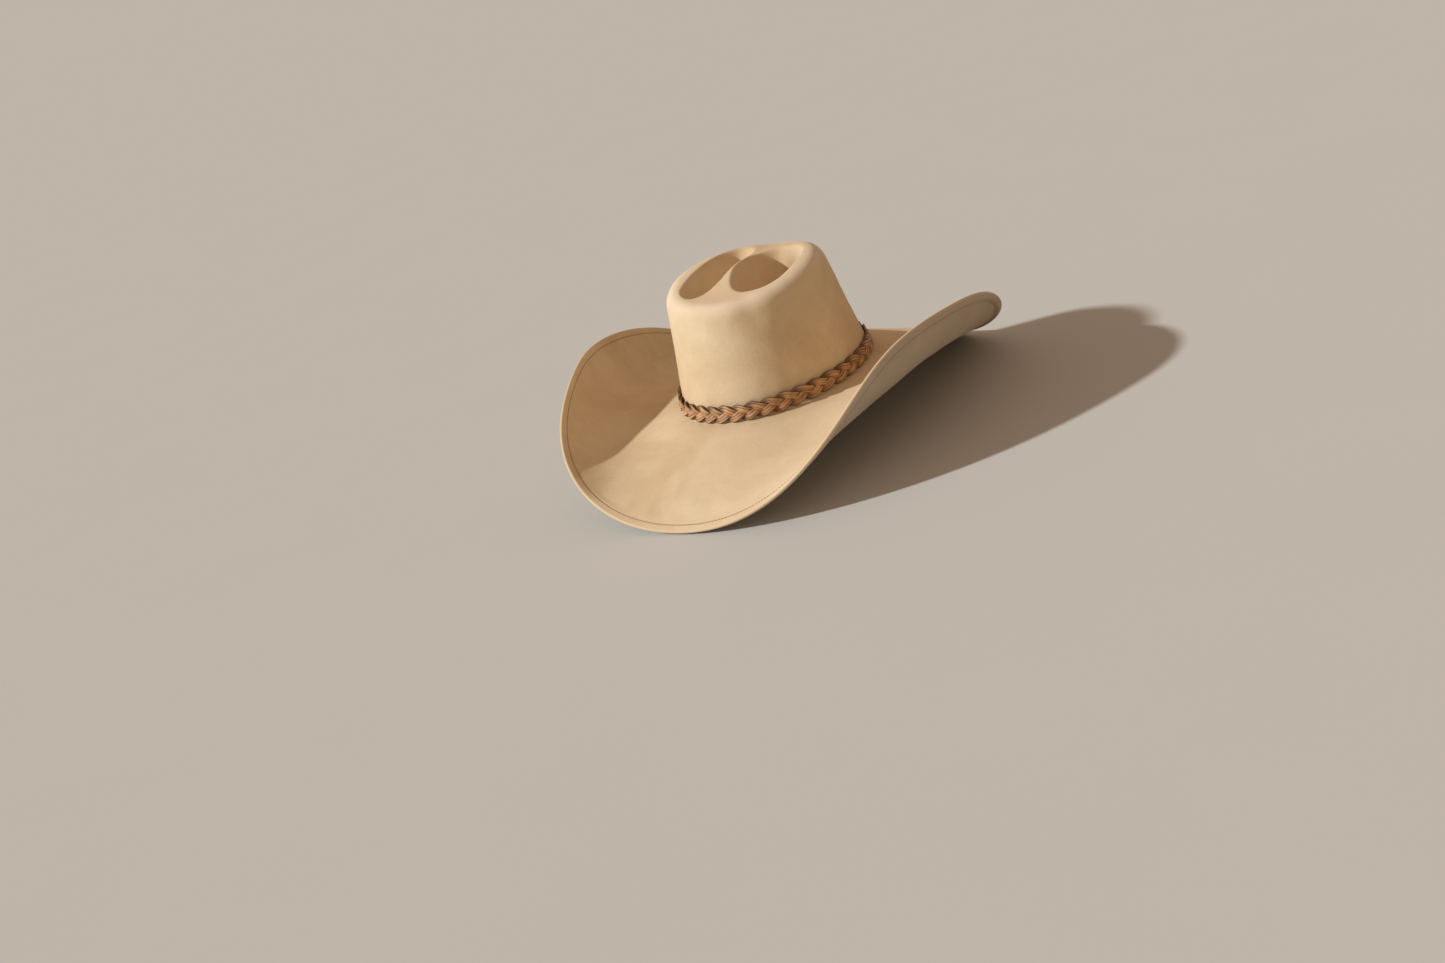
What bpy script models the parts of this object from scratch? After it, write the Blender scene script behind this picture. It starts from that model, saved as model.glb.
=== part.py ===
"""Western felt hat with a curled brim, a two-pit crown and a braided leather band.

Metres, +Z up. The front of the hat looks along -Y and +X is the wearer's left. The hat
stands on the front and back dips of its brim, so Z is 0 at the surface it rests on.

Everything is laid out round the head oval: an angle of 0 degrees is the centre front,
90 degrees the wearer's left and 180 degrees the centre back. A point on a piece is given
by that angle, by how far it lies outside the head oval, and by its height above the
brim break, which is the line where the brim turns up into the crown.
"""
import math

import bmesh
import bpy
from mathutils import Vector

MM = 0.001

# ---------------------------------------------------------------- driving dimensions, mm
# A list of stations holds values at equal steps from the centre front to the centre back.
GAP = 0.3                    # left between pieces that touch

HEAD_HALF_LENGTH = 102.0     # head oval, outside of the felt
HEAD_HALF_WIDTH = 84.6
FELT = 1.7                   # felt thickness
FOLD_WIDTH = 8.5             # the brim's edge is folded back this far, so it is double
STITCH_INSET = 6.8           # stitch line that holds the fold, in from the edge

BRIM_WIDTH = (118.0, 122.5, 130.0, 134.0, 124.0)
BRIM_ROOT_SLOPE = (-17.1, -15.0, -5.0, -24.0, -21.7)             # degrees
BRIM_EDGE_SLOPE = (-40.0, 15.3, 95.6, 91.3, 65.0, -7.7, -24.3)   # degrees
BREAK_RADIUS = 3.0           # rounding where the brim turns up into the crown

CROWN_HEIGHT = (98.5, 101.0, 109.0, 110.0, 107.5)
CROWN_SKEW = 1.3             # the rim stands this much higher on the right, lower on the left
CROWN_TAPER = (22.0, 14.5, 10.0, 22.5, 31.0)     # how far the wall leans in
SHOULDER_DEPTH = (14.6, 15.5, 16.0)              # rounded top edge, seen from above
SHOULDER_DROP = (11.3, 13.0, 15.0)               # the same, seen from the side
RIDGE_HEIGHT = 112.0         # crest of the ridge between the two pits
RIDGE_OFFSET = (-5.0, -3.0)  # centre of the crest, X and Y

PIT_DEPTH = 31.0
PIT_FLOOR = 0.55             # share of the pit's outline that its floor takes
PIT_SQUARENESS = 2.3         # 2 is an ellipse
LEFT_PIT = {"centre": (25.0, -4.0), "half": (29.5, 46.0), "turn": 4.0}
RIGHT_PIT = {"centre": (-29.0, -2.5), "half": (21.5, 53.5), "turn": -4.5}

BRAID_PERIODS = 13           # full weaving periods round the crown
BRAID_CLEARANCE = 3.8        # middle of the braid to the crown's felt
BRAID_HEIGHT = 8.0           # middle of the braid above the brim break
BRAID_SWING = 4.9            # how far a strand weaves up and down
BRAID_LIFT = 1.9             # how far a strand weaves in and out
STRAND_WIDTH = 4.8
STRAND_THICKNESS = 1.2
STRAND_FLAT = 0.62           # share of a strand's width that is flat
BRAID_END_GAP = 2.4          # between the braid's two ends, inside the keeper
KEEPER_LENGTH = 17.0
KEEPER_WALL = 1.3
KEEPER_HALF_HEIGHT = 9.4
KEEPER_OUTER = 8.9           # keeper's outer face to the crown's felt
KEEPER_REACH = 4.2           # how far its lips turn back towards the crown
KEEPER_STITCH_INSET = (2.0, 3.0)     # thread row in from the ends, and from top and foot
KEEPER_STEPS = 9

SWEATBAND_TOP = 56.0
SWEATBAND_FOOT = 1.0         # height of its lower edge
SWEATBAND_THICKNESS = 0.9
SWEATBAND_REEDED = 5.0       # its foot stands off by the reed up to here
SWEATBAND_NEAR = 13.0        # and lies close to the felt from here
SWEATBAND_FREE = 38.0        # above here its top stands away from the felt again
SWEATBAND_FLARE = 1.6
SEAM_GAP = 0.8               # butt joint of the sweatband's ends at the back
REED_RADIUS = 0.8
REED_HEIGHT = 2.2            # middle of the reed
TAPE_THICKNESS = 0.3
TAPE_FOOT = 3.2
TAPE_TOP = 11.0
REED_ROW_HEIGHT = 6.0        # the row of thread above the reed
ZIGZAG_SPAN = (11.0, 51.0)   # heights of the thread over the butt joint
ZIGZAG_HALF_WIDTH = 2.2
ZIGZAG_POINTS = 19
LINER_THICKNESS = 0.4
LINER_FOOT = 16.0
LINER_TOP = 66.0
TIP_CROWNING = 3.0           # rise of the lining's tip at its middle
TIP_RISE = 0.9               # the tip's edge above the lining wall's top
PIPING_RADIUS = 0.8
PIPING_DROP = 0.8            # middle of the piping below the lining wall's top
SHIELD_HALF = (46.0, 58.0)   # clear shield under the tip, half width and half length
SHIELD_THICKNESS = 0.3
SHIELD_DROP = 0.6            # below the lining wall's top
SHIELD_CROWNING = 2.25
SHIELD_FALL = 1.35           # fall of the shield from its middle to its edge
THREAD_RADIUS = 0.3
BOW_HEIGHT = 44.0            # middle of the little bow on the sweatband
BOW_LOOP = [(0.0, 1.6), (4.0, 3.2), (9.0, 4.8), (12.5, 4.2), (13.5, 0.0)]   # upper half
BOW_THICKNESS = 1.0
KNOT_HALF = 2.6
KNOT_THICKNESS = 0.8

FOLD_RINGS = (0.0, 0.45, 0.9, 1.0)   # rings across the folded edge, as shares of its width
CIRCLE_HANDLE = 0.5523       # a quarter circle's Bezier handle, as a share of its radius
SIDES = 56                   # steps round the hat
BRIM_STEPS = 9
BREAK_STEPS = 3
WALL_STEPS = 3
SHOULDER_STEPS = 4
TOP_STEPS = 12
STRAND_STEPS = 8             # sections in one weaving period
BRIM_SUMS = 40               # straight pieces that add up to the brim's curve

MATERIALS = {
    # name: (colour, roughness, metallic)
    "felt": ((0.66, 0.50, 0.32), 0.95, 0.0),
    "edge_thread": ((0.33, 0.22, 0.12), 0.80, 0.0),
    "braid_leather": ((0.36, 0.17, 0.07), 0.55, 0.0),
    "band_thread": ((0.62, 0.50, 0.34), 0.80, 0.0),
    "sweat_leather": ((0.50, 0.30, 0.16), 0.50, 0.0),
    "reed_plastic": ((0.75, 0.73, 0.68), 0.40, 0.0),
    "tape": ((0.30, 0.22, 0.14), 0.90, 0.0),
    "satin": ((0.70, 0.62, 0.48), 0.35, 0.0),
    "ribbon": ((0.20, 0.11, 0.06), 0.45, 0.0),
    "clear_plastic": ((0.85, 0.86, 0.86), 0.10, 0.0),
}


# ---------------------------------------------------------------- Blender helpers
def clear_scene():
    for old in list(bpy.data.objects):
        bpy.data.objects.remove(old, do_unlink=True)


def make_materials():
    made = {}
    for name, (colour, roughness, metallic) in MATERIALS.items():
        material = bpy.data.materials.new(name)
        material.use_nodes = True
        shader = material.node_tree.nodes["Principled BSDF"]
        shader.inputs["Base Color"].default_value = (*colour, 1.0)
        shader.inputs["Roughness"].default_value = roughness
        shader.inputs["Metallic"].default_value = metallic
        made[name] = material
    return made


def add_object(name, data, material, parent):
    piece = bpy.data.objects.new(name, data)
    data.materials.append(material)
    parts.objects.link(piece)
    piece.parent = parent
    return piece


def mesh_from_rings(name, rings, closed_round=True, caps=False, pole=None):
    """A mesh through rings of points. Rings run outward to inward, or along a strip."""
    mesh = bpy.data.meshes.new(name)
    build = bmesh.new()
    rows = [[build.verts.new(Vector(point) * MM) for point in ring] for ring in rings]
    count = len(rows[0])
    steps = count if closed_round else count - 1
    for lower, upper in zip(rows, rows[1:]):
        for i in range(steps):
            j = (i + 1) % count
            build.faces.new((lower[i], lower[j], upper[j], upper[i]))
    if pole is not None:
        tip = build.verts.new(Vector(pole) * MM)
        for i in range(steps):
            build.faces.new((rows[-1][i], rows[-1][(i + 1) % count], tip))
    if caps:
        build.faces.new(list(reversed(rows[0])))
        build.faces.new(rows[-1])
    if closed_round and pole is None or caps:
        bmesh.ops.recalc_face_normals(build, faces=build.faces)
    build.to_mesh(mesh)
    build.free()
    mesh.shade_smooth()
    mesh.set_sharp_from_angle(angle=math.radians(50))
    return mesh


def ring_solid(name, section_at, angles, material, parent, closed=True):
    """A closed section carried round the hat; an open ring gets flat ends."""
    rings = [section_at(angle) for angle in angles]
    if closed:
        rings.append(rings[0])
    mesh = mesh_from_rings(name, rings, caps=not closed)
    if closed:
        weld = bmesh.new()
        weld.from_mesh(mesh)
        bmesh.ops.remove_doubles(weld, verts=weld.verts, dist=0.01 * MM)
        bmesh.ops.recalc_face_normals(weld, faces=weld.faces)
        weld.to_mesh(mesh)
        weld.free()
    return add_object(name, mesh, material, parent)


def tube(name, points, radius, material, parent, closed=True, roundness=0):
    """A thread, reed or cord through points."""
    curve = bpy.data.curves.new(name, "CURVE")
    curve.dimensions = "3D"
    curve.bevel_depth = radius * MM
    curve.bevel_resolution = roundness
    curve.use_fill_caps = not closed
    spline = curve.splines.new("POLY")
    spline.points.add(len(points) - 1)
    for spot, point in zip(spline.points, points):
        spot.co = (*(Vector(point) * MM), 1.0)
    spline.use_cyclic_u = closed
    return add_object(name, curve, material, parent)


# ---------------------------------------------------------------- geometry of the hat
def around(stations):
    """A smooth value round the hat that passes through its stations."""
    last = len(stations) - 1
    terms = []
    for k in range(last + 1):
        total = 0.0
        for j, value in enumerate(stations):
            share = 0.5 if j in (0, last) else 1.0
            total += share * value * math.cos(math.pi * k * j / last)
        scale = 1.0 / last if k in (0, last) else 2.0 / last
        terms.append(total * scale)

    def value_at(angle):
        return sum(term * math.cos(k * angle) for k, term in enumerate(terms))

    return value_at


brim_width = around(BRIM_WIDTH)
brim_root_slope = around(BRIM_ROOT_SLOPE)
brim_edge_slope = around(BRIM_EDGE_SLOPE)
crown_mean_height = around(CROWN_HEIGHT)
crown_taper = around(CROWN_TAPER)
shoulder_depth = around(SHOULDER_DEPTH)
shoulder_drop = around(SHOULDER_DROP)


def crown_height(angle):
    return crown_mean_height(angle) - CROWN_SKEW * math.sin(angle)


def place(angle, out, height):
    """The point that lies out beyond the head oval at an angle, at a height."""
    side = math.sin(angle)
    front = -math.cos(angle)
    normal = Vector((side / HEAD_HALF_WIDTH, front / HEAD_HALF_LENGTH, 0.0)).normalized()
    return Vector((side * HEAD_HALF_WIDTH + normal.x * out,
                   front * HEAD_HALF_LENGTH + normal.y * out,
                   height))


def wall_lean(angle, height):
    """How far the crown's wall has leaned in at a height."""
    wall = crown_height(angle) - shoulder_drop(angle)
    return crown_taper(angle) * height / wall


def beside_wall(angle, out, height):
    """The point that lies out beyond the crown's leaning wall, at a height."""
    return place(angle, out - wall_lean(angle, height), height)


def brim_point(angle, distance):
    """Out and height on the brim's upper face, a distance from the brim break."""
    width = brim_width(angle)
    root = math.radians(brim_root_slope(angle))
    edge = math.radians(brim_edge_slope(angle))
    out = 0.0
    height = 0.0
    step = distance / BRIM_SUMS
    for k in range(BRIM_SUMS):
        share = (k + 0.5) * step / width
        slope = root + (edge - root) * share ** 2
        out += math.cos(slope) * step
        height += math.sin(slope) * step
    return out, height, root + (edge - root) * (distance / width) ** 2


def bezier(points, t):
    """A point on the Bezier curve with these 3 or 4 control points."""
    while len(points) > 1:
        points = [a.lerp(b, t) for a, b in zip(points, points[1:])]
    return points[0]


def break_curve(angle, t):
    """The rounding from the brim's upper face at t = 0 to the crown's wall at t = 1."""
    out, height, _ = brim_point(angle, BREAK_RADIUS)
    start = Vector((out, height))
    end = Vector((-wall_lean(angle, BREAK_RADIUS), BREAK_RADIUS))
    return bezier([start, Vector((0.0, 0.0)), end], t)


def shoulder_curve(angle, t):
    """The crown's rounded top edge, from the wall at t = 0 to level at t = 1."""
    lean = crown_taper(angle)
    top = crown_height(angle)
    drop = shoulder_drop(angle)
    depth = shoulder_depth(angle)
    start = Vector((-lean, top - drop))
    end = Vector((-lean - depth, top))
    along_wall = Vector((-lean, top - drop)).normalized() * drop * CIRCLE_HANDLE
    level = Vector((depth * CIRCLE_HANDLE, 0.0))
    return bezier([start, start + along_wall, end + level, end], t)


def smooth_step(value):
    value = min(max(value, 0.0), 1.0)
    return value * value * (3.0 - 2.0 * value)


def pit_depth(pit, x, y):
    turn = math.radians(pit["turn"])
    dx = x - pit["centre"][0]
    dy = y - pit["centre"][1]
    across = dx * math.cos(turn) + dy * math.sin(turn)
    along = dy * math.cos(turn) - dx * math.sin(turn)
    across = abs(across / pit["half"][0]) ** PIT_SQUARENESS
    along = abs(along / pit["half"][1]) ** PIT_SQUARENESS
    reach = (across + along) ** (1.0 / PIT_SQUARENESS)
    return PIT_DEPTH * (1.0 - smooth_step((reach - PIT_FLOOR) / (1.0 - PIT_FLOOR)))


def crown_top_point(angle, share):
    """A point on the crown's top: share 1 is the crest of the rim, 0 its middle."""
    crest = shoulder_curve(angle, 1.0)
    rim = place(angle, crest.x, crest.y)
    x = RIDGE_OFFSET[0] + (rim.x - RIDGE_OFFSET[0]) * share
    y = RIDGE_OFFSET[1] + (rim.y - RIDGE_OFFSET[1]) * share
    z = RIDGE_HEIGHT + (rim.z - RIDGE_HEIGHT) * smooth_step(share)
    return Vector((x, y, z - pit_depth(LEFT_PIT, x, y) - pit_depth(RIGHT_PIT, x, y)))


def angles_round(count=SIDES, start=0.0, end=2.0 * math.pi, ends=False):
    steps = count - 1 if ends else count
    return [start + (end - start) * k / steps for k in range(count)]


# ---------------------------------------------------------------- felt
def felt_rings():
    """Rings over the felt's outer face, from the brim's edge in to the crown's top."""
    distances = []
    for angle in angles_round():
        width = brim_width(angle)
        near_edge = [width - FOLD_WIDTH * share for share in FOLD_RINGS]
        inner = width - FOLD_WIDTH
        rest = [inner + (BREAK_RADIUS - inner) * k / BRIM_STEPS for k in range(1, BRIM_STEPS)]
        distances.append(near_edge + rest)
    rings = []
    for k in range(len(distances[0])):
        ring = []
        for angle, spread in zip(angles_round(), distances):
            out, height, _ = brim_point(angle, spread[k])
            ring.append(place(angle, out, height))
        rings.append(ring)
    for k in range(BREAK_STEPS + 1):
        ring = []
        for angle in angles_round():
            spot = break_curve(angle, k / BREAK_STEPS)
            ring.append(place(angle, spot.x, spot.y))
        rings.append(ring)
    for k in range(1, WALL_STEPS):
        ring = []
        for angle in angles_round():
            top = crown_height(angle) - shoulder_drop(angle)
            height = BREAK_RADIUS + (top - BREAK_RADIUS) * k / WALL_STEPS
            ring.append(place(angle, -wall_lean(angle, height), height))
        rings.append(ring)
    for k in range(SHOULDER_STEPS + 1):
        ring = []
        for angle in angles_round():
            spot = shoulder_curve(angle, k / SHOULDER_STEPS)
            ring.append(place(angle, spot.x, spot.y))
        rings.append(ring)
    for k in range(1, TOP_STEPS):
        rings.append([crown_top_point(angle, 1.0 - k / TOP_STEPS) for angle in angles_round()])
    return rings


def make_felt_body(parent):
    """Crown and brim are one piece of felt; the folded brim edge is twice as thick."""
    rings = felt_rings()
    mesh = mesh_from_rings("felt_body", rings, pole=crown_top_point(0.0, 0.0))
    body = add_object("felt_body", mesh, materials["felt"], parent)
    fold = body.vertex_groups.new(name="folded_edge")
    folded_rings = len(FOLD_RINGS) - 1
    fold.add(list(range(folded_rings * SIDES)), 1.0, "REPLACE")
    shell = body.modifiers.new("felt thickness", "SOLIDIFY")
    shell.thickness = 2.0 * FELT * MM
    shell.offset = -1.0
    shell.use_even_offset = True
    shell.use_quality_normals = True
    shell.vertex_group = fold.name
    shell.thickness_vertex_group = 0.5
    return body


def edge_thread_points(lift):
    """The stitch line that holds the folded edge, lifted off the brim's upper face."""
    points = []
    for angle in angles_round():
        out, height, slope = brim_point(angle, brim_width(angle) - STITCH_INSET)
        points.append(place(angle, out - lift * math.sin(slope), height + lift * math.cos(slope)))
    return points


def make_edge_stitching(parent):
    above = 2.0 * GAP + THREAD_RADIUS
    tube("brim_stitch_upper", edge_thread_points(above), THREAD_RADIUS,
         materials["edge_thread"], parent)
    below = -2.0 * FELT - above - GAP
    tube("brim_stitch_under", edge_thread_points(below), THREAD_RADIUS,
         materials["edge_thread"], parent)


# ---------------------------------------------------------------- braided band
def strand_section(angle, weave):
    """Six points across a flat strand of the braid, at an angle of its weave."""
    rise = BRAID_SWING * math.sin(weave)
    lift = -BRAID_LIFT * math.sin(2.0 * weave)
    height = BRAID_HEIGHT + rise
    half = 0.5 * STRAND_WIDTH
    thick = 0.5 * STRAND_THICKNESS
    flat = STRAND_FLAT * half
    outline = [(-half, 0.0), (-flat, -thick), (flat, -thick),
               (half, 0.0), (flat, thick), (-flat, thick)]
    section = []
    for across, depth in outline:
        section.append(beside_wall(angle, BRAID_CLEARANCE + lift + depth, height + across))
    return section


def make_braid(parent):
    """Three strands cross over and under each other; their ends meet in the keeper."""
    half_gap = 0.5 * BRAID_END_GAP / HEAD_HALF_WIDTH
    start = math.pi + half_gap
    end = 3.0 * math.pi - half_gap
    count = BRAID_PERIODS * STRAND_STEPS + 1
    stations = angles_round(count, start, end, ends=True)
    for number in range(3):
        offset = 2.0 * math.pi * number / 3.0
        rings = []
        for k, angle in enumerate(stations):
            weave = 2.0 * math.pi * k / STRAND_STEPS + offset
            rings.append(strand_section(angle, weave))
        name = "band_strand_" + str(number + 1)
        mesh = mesh_from_rings(name, rings, caps=True)
        add_object(name, mesh, materials["braid_leather"], parent)


def keeper_section(angle):
    """A C that is open towards the crown, round the outside of the braid."""
    outer = KEEPER_OUTER
    inner = outer - KEEPER_REACH
    top = BRAID_HEIGHT + KEEPER_HALF_HEIGHT
    foot = BRAID_HEIGHT - KEEPER_HALF_HEIGHT
    wall = KEEPER_WALL
    outline = [(outer, foot), (outer, top), (inner, top), (inner, top - wall),
               (outer - wall, top - wall), (outer - wall, foot + wall),
               (inner, foot + wall), (inner, foot)]
    return [beside_wall(angle, out, height) for out, height in outline]


def keeper_stitch_points():
    """A row of thread round the keeper's outer face."""
    half_turn = (0.5 * KEEPER_LENGTH - KEEPER_STITCH_INSET[0]) / HEAD_HALF_WIDTH
    half_height = KEEPER_HALF_HEIGHT - KEEPER_STITCH_INSET[1]
    out = KEEPER_OUTER + GAP + THREAD_RADIUS
    corners = [(-half_turn, -half_height), (half_turn, -half_height),
               (half_turn, half_height), (-half_turn, half_height)]
    points = []
    steps = 4
    for (turn_a, rise_a), (turn_b, rise_b) in zip(corners, corners[1:] + corners[:1]):
        for k in range(steps):
            share = k / steps
            angle = math.pi + turn_a + (turn_b - turn_a) * share
            rise = rise_a + (rise_b - rise_a) * share
            points.append(beside_wall(angle, out, BRAID_HEIGHT + rise))
    return points


def make_keeper(parent):
    half_turn = 0.5 * KEEPER_LENGTH / HEAD_HALF_WIDTH
    turns = angles_round(KEEPER_STEPS, math.pi - half_turn, math.pi + half_turn, ends=True)
    ring_solid("band_keeper", keeper_section, turns, materials["braid_leather"], parent,
               closed=False)
    tube("keeper_stitch", keeper_stitch_points(), THREAD_RADIUS, materials["band_thread"], parent)


# ---------------------------------------------------------------- inside of the crown
def strip_section(angle, faces, thickness):
    """A strip's closed outline from its outer face; faces are (inward, height) pairs."""
    outer = [beside_wall(angle, -inward, height) for inward, height in faces]
    inner = [beside_wall(angle, -inward - thickness, height) for inward, height in reversed(faces)]
    return outer + inner


# How far inside the crown's outer face each layer begins, at one height. A flat-sided solid
# cuts the corner of a round wall, so each layer leaves a little more than GAP.
SPARE = 0.1
TAPE_IN = FELT + GAP + SPARE
REED_IN = TAPE_IN + TAPE_THICKNESS + GAP + REED_RADIUS
LINER_IN = FELT + GAP + SPARE
FOOT_IN = REED_IN + REED_RADIUS + GAP + SPARE
BODY_IN = LINER_IN + LINER_THICKNESS + GAP + SPARE
SWEATBAND_FACES = [(FOOT_IN, SWEATBAND_FOOT), (FOOT_IN, SWEATBAND_REEDED),
                   (BODY_IN, SWEATBAND_NEAR), (BODY_IN, SWEATBAND_FREE),
                   (BODY_IN + SWEATBAND_FLARE, SWEATBAND_TOP)]


def sweatband_face(height):
    """How far inside the crown's wall the sweatband's inner face lies at a height."""
    for (in_a, low), (in_b, high) in zip(SWEATBAND_FACES, SWEATBAND_FACES[1:]):
        if low <= height <= high:
            share = (height - low) / (high - low)
            return in_a + (in_b - in_a) * share + SWEATBAND_THICKNESS
    return SWEATBAND_FACES[-1][0] + SWEATBAND_THICKNESS


def make_sweatband(parent):
    def leather_section(angle):
        return strip_section(angle, SWEATBAND_FACES, SWEATBAND_THICKNESS)

    def tape_section(angle):
        return strip_section(angle, [(TAPE_IN, TAPE_FOOT), (TAPE_IN, TAPE_TOP)], TAPE_THICKNESS)

    half_gap = 0.5 * SEAM_GAP / HEAD_HALF_WIDTH
    open_ring = angles_round(SIDES + 1, math.pi + half_gap, 3.0 * math.pi - half_gap, ends=True)
    ring_solid("sweatband", leather_section, open_ring, materials["sweat_leather"], parent,
               closed=False)

    reed = [beside_wall(angle, -REED_IN, REED_HEIGHT) for angle in angles_round()]
    tube("sweatband_reed", reed, REED_RADIUS, materials["reed_plastic"], parent, roundness=1)

    ring_solid("reed_tape", tape_section, angles_round(), materials["tape"], parent)


def make_sweatband_stitching(parent):
    """The row of thread above the reed, and the zigzag that joins the ends at the back."""
    inward = sweatband_face(REED_ROW_HEIGHT) + GAP + THREAD_RADIUS + SPARE
    row = [beside_wall(angle, -inward, REED_ROW_HEIGHT) for angle in angles_round()]
    tube("sweatband_stitch", row, THREAD_RADIUS, materials["edge_thread"], parent)

    zigzag = []
    foot, top = ZIGZAG_SPAN
    half_turn = ZIGZAG_HALF_WIDTH / HEAD_HALF_WIDTH
    for k in range(ZIGZAG_POINTS):
        height = foot + (top - foot) * k / (ZIGZAG_POINTS - 1)
        swing = half_turn if k % 2 else -half_turn
        inward = sweatband_face(height) + GAP + THREAD_RADIUS + SPARE
        zigzag.append(beside_wall(math.pi + swing, -inward, height))
    tube("sweatband_back_seam", zigzag, THREAD_RADIUS, materials["edge_thread"], parent,
         closed=False)


def bow_outline():
    """A flat bow's outline: two loops that narrow to the knot."""
    upper = BOW_LOOP
    lower = [(x, -z) for x, z in reversed(BOW_LOOP[:-1])]
    right = upper + lower
    left = [(-x, z) for x, z in reversed(right)]
    return right + left[1:-1]


def make_bow(parent):
    """A small ribbon bow at the back of the sweatband, with its knot as a separate wrap."""
    outline = bow_outline()
    back = sweatband_face(BOW_HEIGHT) + 2.0 * GAP + 2.0 * THREAD_RADIUS + 2.0 * SPARE
    rings = []
    for depth in (0.0, BOW_THICKNESS):
        ring = []
        for x, z in outline:
            angle = math.pi - x / HEAD_HALF_WIDTH
            ring.append(beside_wall(angle, -back - depth, BOW_HEIGHT + z))
        rings.append(ring)
    mesh = mesh_from_rings("sweatband_bow", rings, caps=True)
    add_object("sweatband_bow", mesh, materials["ribbon"], parent)

    inner = back + BOW_THICKNESS + GAP
    corners = [(-KNOT_HALF, -KNOT_HALF), (KNOT_HALF, -KNOT_HALF),
               (KNOT_HALF, KNOT_HALF), (-KNOT_HALF, KNOT_HALF)]
    rings = []
    for share, size in ((0.0, 1.0), (0.7, 1.0), (1.0, 0.75)):
        depth = inner + share * KNOT_THICKNESS
        ring = []
        for x, z in corners:
            angle = math.pi - size * x / HEAD_HALF_WIDTH
            ring.append(beside_wall(angle, -depth, BOW_HEIGHT + size * z))
        rings.append(ring)
    mesh = mesh_from_rings("bow_knot", rings, caps=True)
    add_object("bow_knot", mesh, materials["ribbon"], parent)


def tip_point(angle, share):
    """A point of the lining's tip; share 1 is its edge and 0 its middle."""
    edge = beside_wall(angle, -LINER_IN - LINER_THICKNESS, LINER_TOP)
    rise = TIP_RISE + TIP_CROWNING * (1.0 - share * share)
    return Vector((edge.x * share,
                   RIDGE_OFFSET[1] + (edge.y - RIDGE_OFFSET[1]) * share,
                   LINER_TOP + rise))


def shield_point(angle, share):
    """A point of the clear shield's upper face, which follows the tip above it."""
    rise = SHIELD_CROWNING - SHIELD_FALL * share * share
    return Vector((SHIELD_HALF[0] * share * math.sin(angle),
                   RIDGE_OFFSET[1] - SHIELD_HALF[1] * share * math.cos(angle),
                   LINER_TOP - SHIELD_DROP + rise))


def make_lining(parent):
    """Satin lining: a side wall, an oval tip, the piping over their seam and a shield."""
    middle = 0.5 * (LINER_FOOT + LINER_TOP)

    def side_section(angle):
        faces = [(LINER_IN, LINER_FOOT), (LINER_IN, middle), (LINER_IN, LINER_TOP)]
        return strip_section(angle, faces, LINER_THICKNESS)

    ring_solid("liner_side", side_section, angles_round(), materials["satin"], parent)

    shares = (1.0, 0.75, 0.5, 0.25)
    rings = [[tip_point(angle, share) for angle in angles_round()] for share in shares]
    mesh = mesh_from_rings("liner_tip", rings, pole=tip_point(0.0, 0.0))
    tip = add_object("liner_tip", mesh, materials["satin"], parent)
    cloth = tip.modifiers.new("satin thickness", "SOLIDIFY")
    cloth.thickness = LINER_THICKNESS * MM
    cloth.offset = -1.0

    inward = LINER_IN + LINER_THICKNESS + GAP + PIPING_RADIUS + SPARE
    height = LINER_TOP - PIPING_DROP
    piping = [beside_wall(angle, -inward, height) for angle in angles_round()]
    tube("liner_piping", piping, PIPING_RADIUS, materials["satin"], parent, roundness=1)

    rings = [[shield_point(angle, share) for angle in angles_round()] for share in (1.0, 0.5)]
    mesh = mesh_from_rings("tip_shield", rings, pole=shield_point(0.0, 0.0))
    shield = add_object("tip_shield", mesh, materials["clear_plastic"], parent)
    sheet = shield.modifiers.new("sheet thickness", "SOLIDIFY")
    sheet.thickness = SHIELD_THICKNESS * MM
    sheet.offset = -1.0


# ---------------------------------------------------------------- the whole hat
def stand_on_brim(hat, felt):
    """Move the hat so that its brim rests at Z = 0 with its box centred on X = Y = 0."""
    shape = felt.evaluated_get(bpy.context.evaluated_depsgraph_get()).to_mesh()
    xs = [vertex.co.x for vertex in shape.vertices]
    ys = [vertex.co.y for vertex in shape.vertices]
    zs = [vertex.co.z for vertex in shape.vertices]
    hat.location = (-0.5 * (min(xs) + max(xs)), -0.5 * (min(ys) + max(ys)), -min(zs))


clear_scene()
parts = bpy.data.collections.new("western_hat")
bpy.context.scene.collection.children.link(parts)
materials = make_materials()

hat = bpy.data.objects.new("hat_frame", None)
parts.objects.link(hat)
band = bpy.data.objects.new("band_slide", None)
parts.objects.link(band)
band.parent = hat

felt = make_felt_body(hat)
make_edge_stitching(hat)
make_braid(band)
make_keeper(band)
make_sweatband(hat)
make_sweatband_stitching(hat)
make_bow(hat)
make_lining(hat)
stand_on_brim(hat, felt)
bpy.context.view_layer.update()
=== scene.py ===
"""Looks of the western felt hat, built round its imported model.

Metres in the row frame, +Z up. The hat's own sizes are in millimetres and repeat the driving
dimensions of the CAD part: an angle of 0 degrees is the centre front and 90 degrees the
wearer's left, a point lies out beyond the head oval, and a height is above the brim break.
"""

import math

import bpy
import numpy as np
from mathutils import Matrix, Vector


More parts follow.
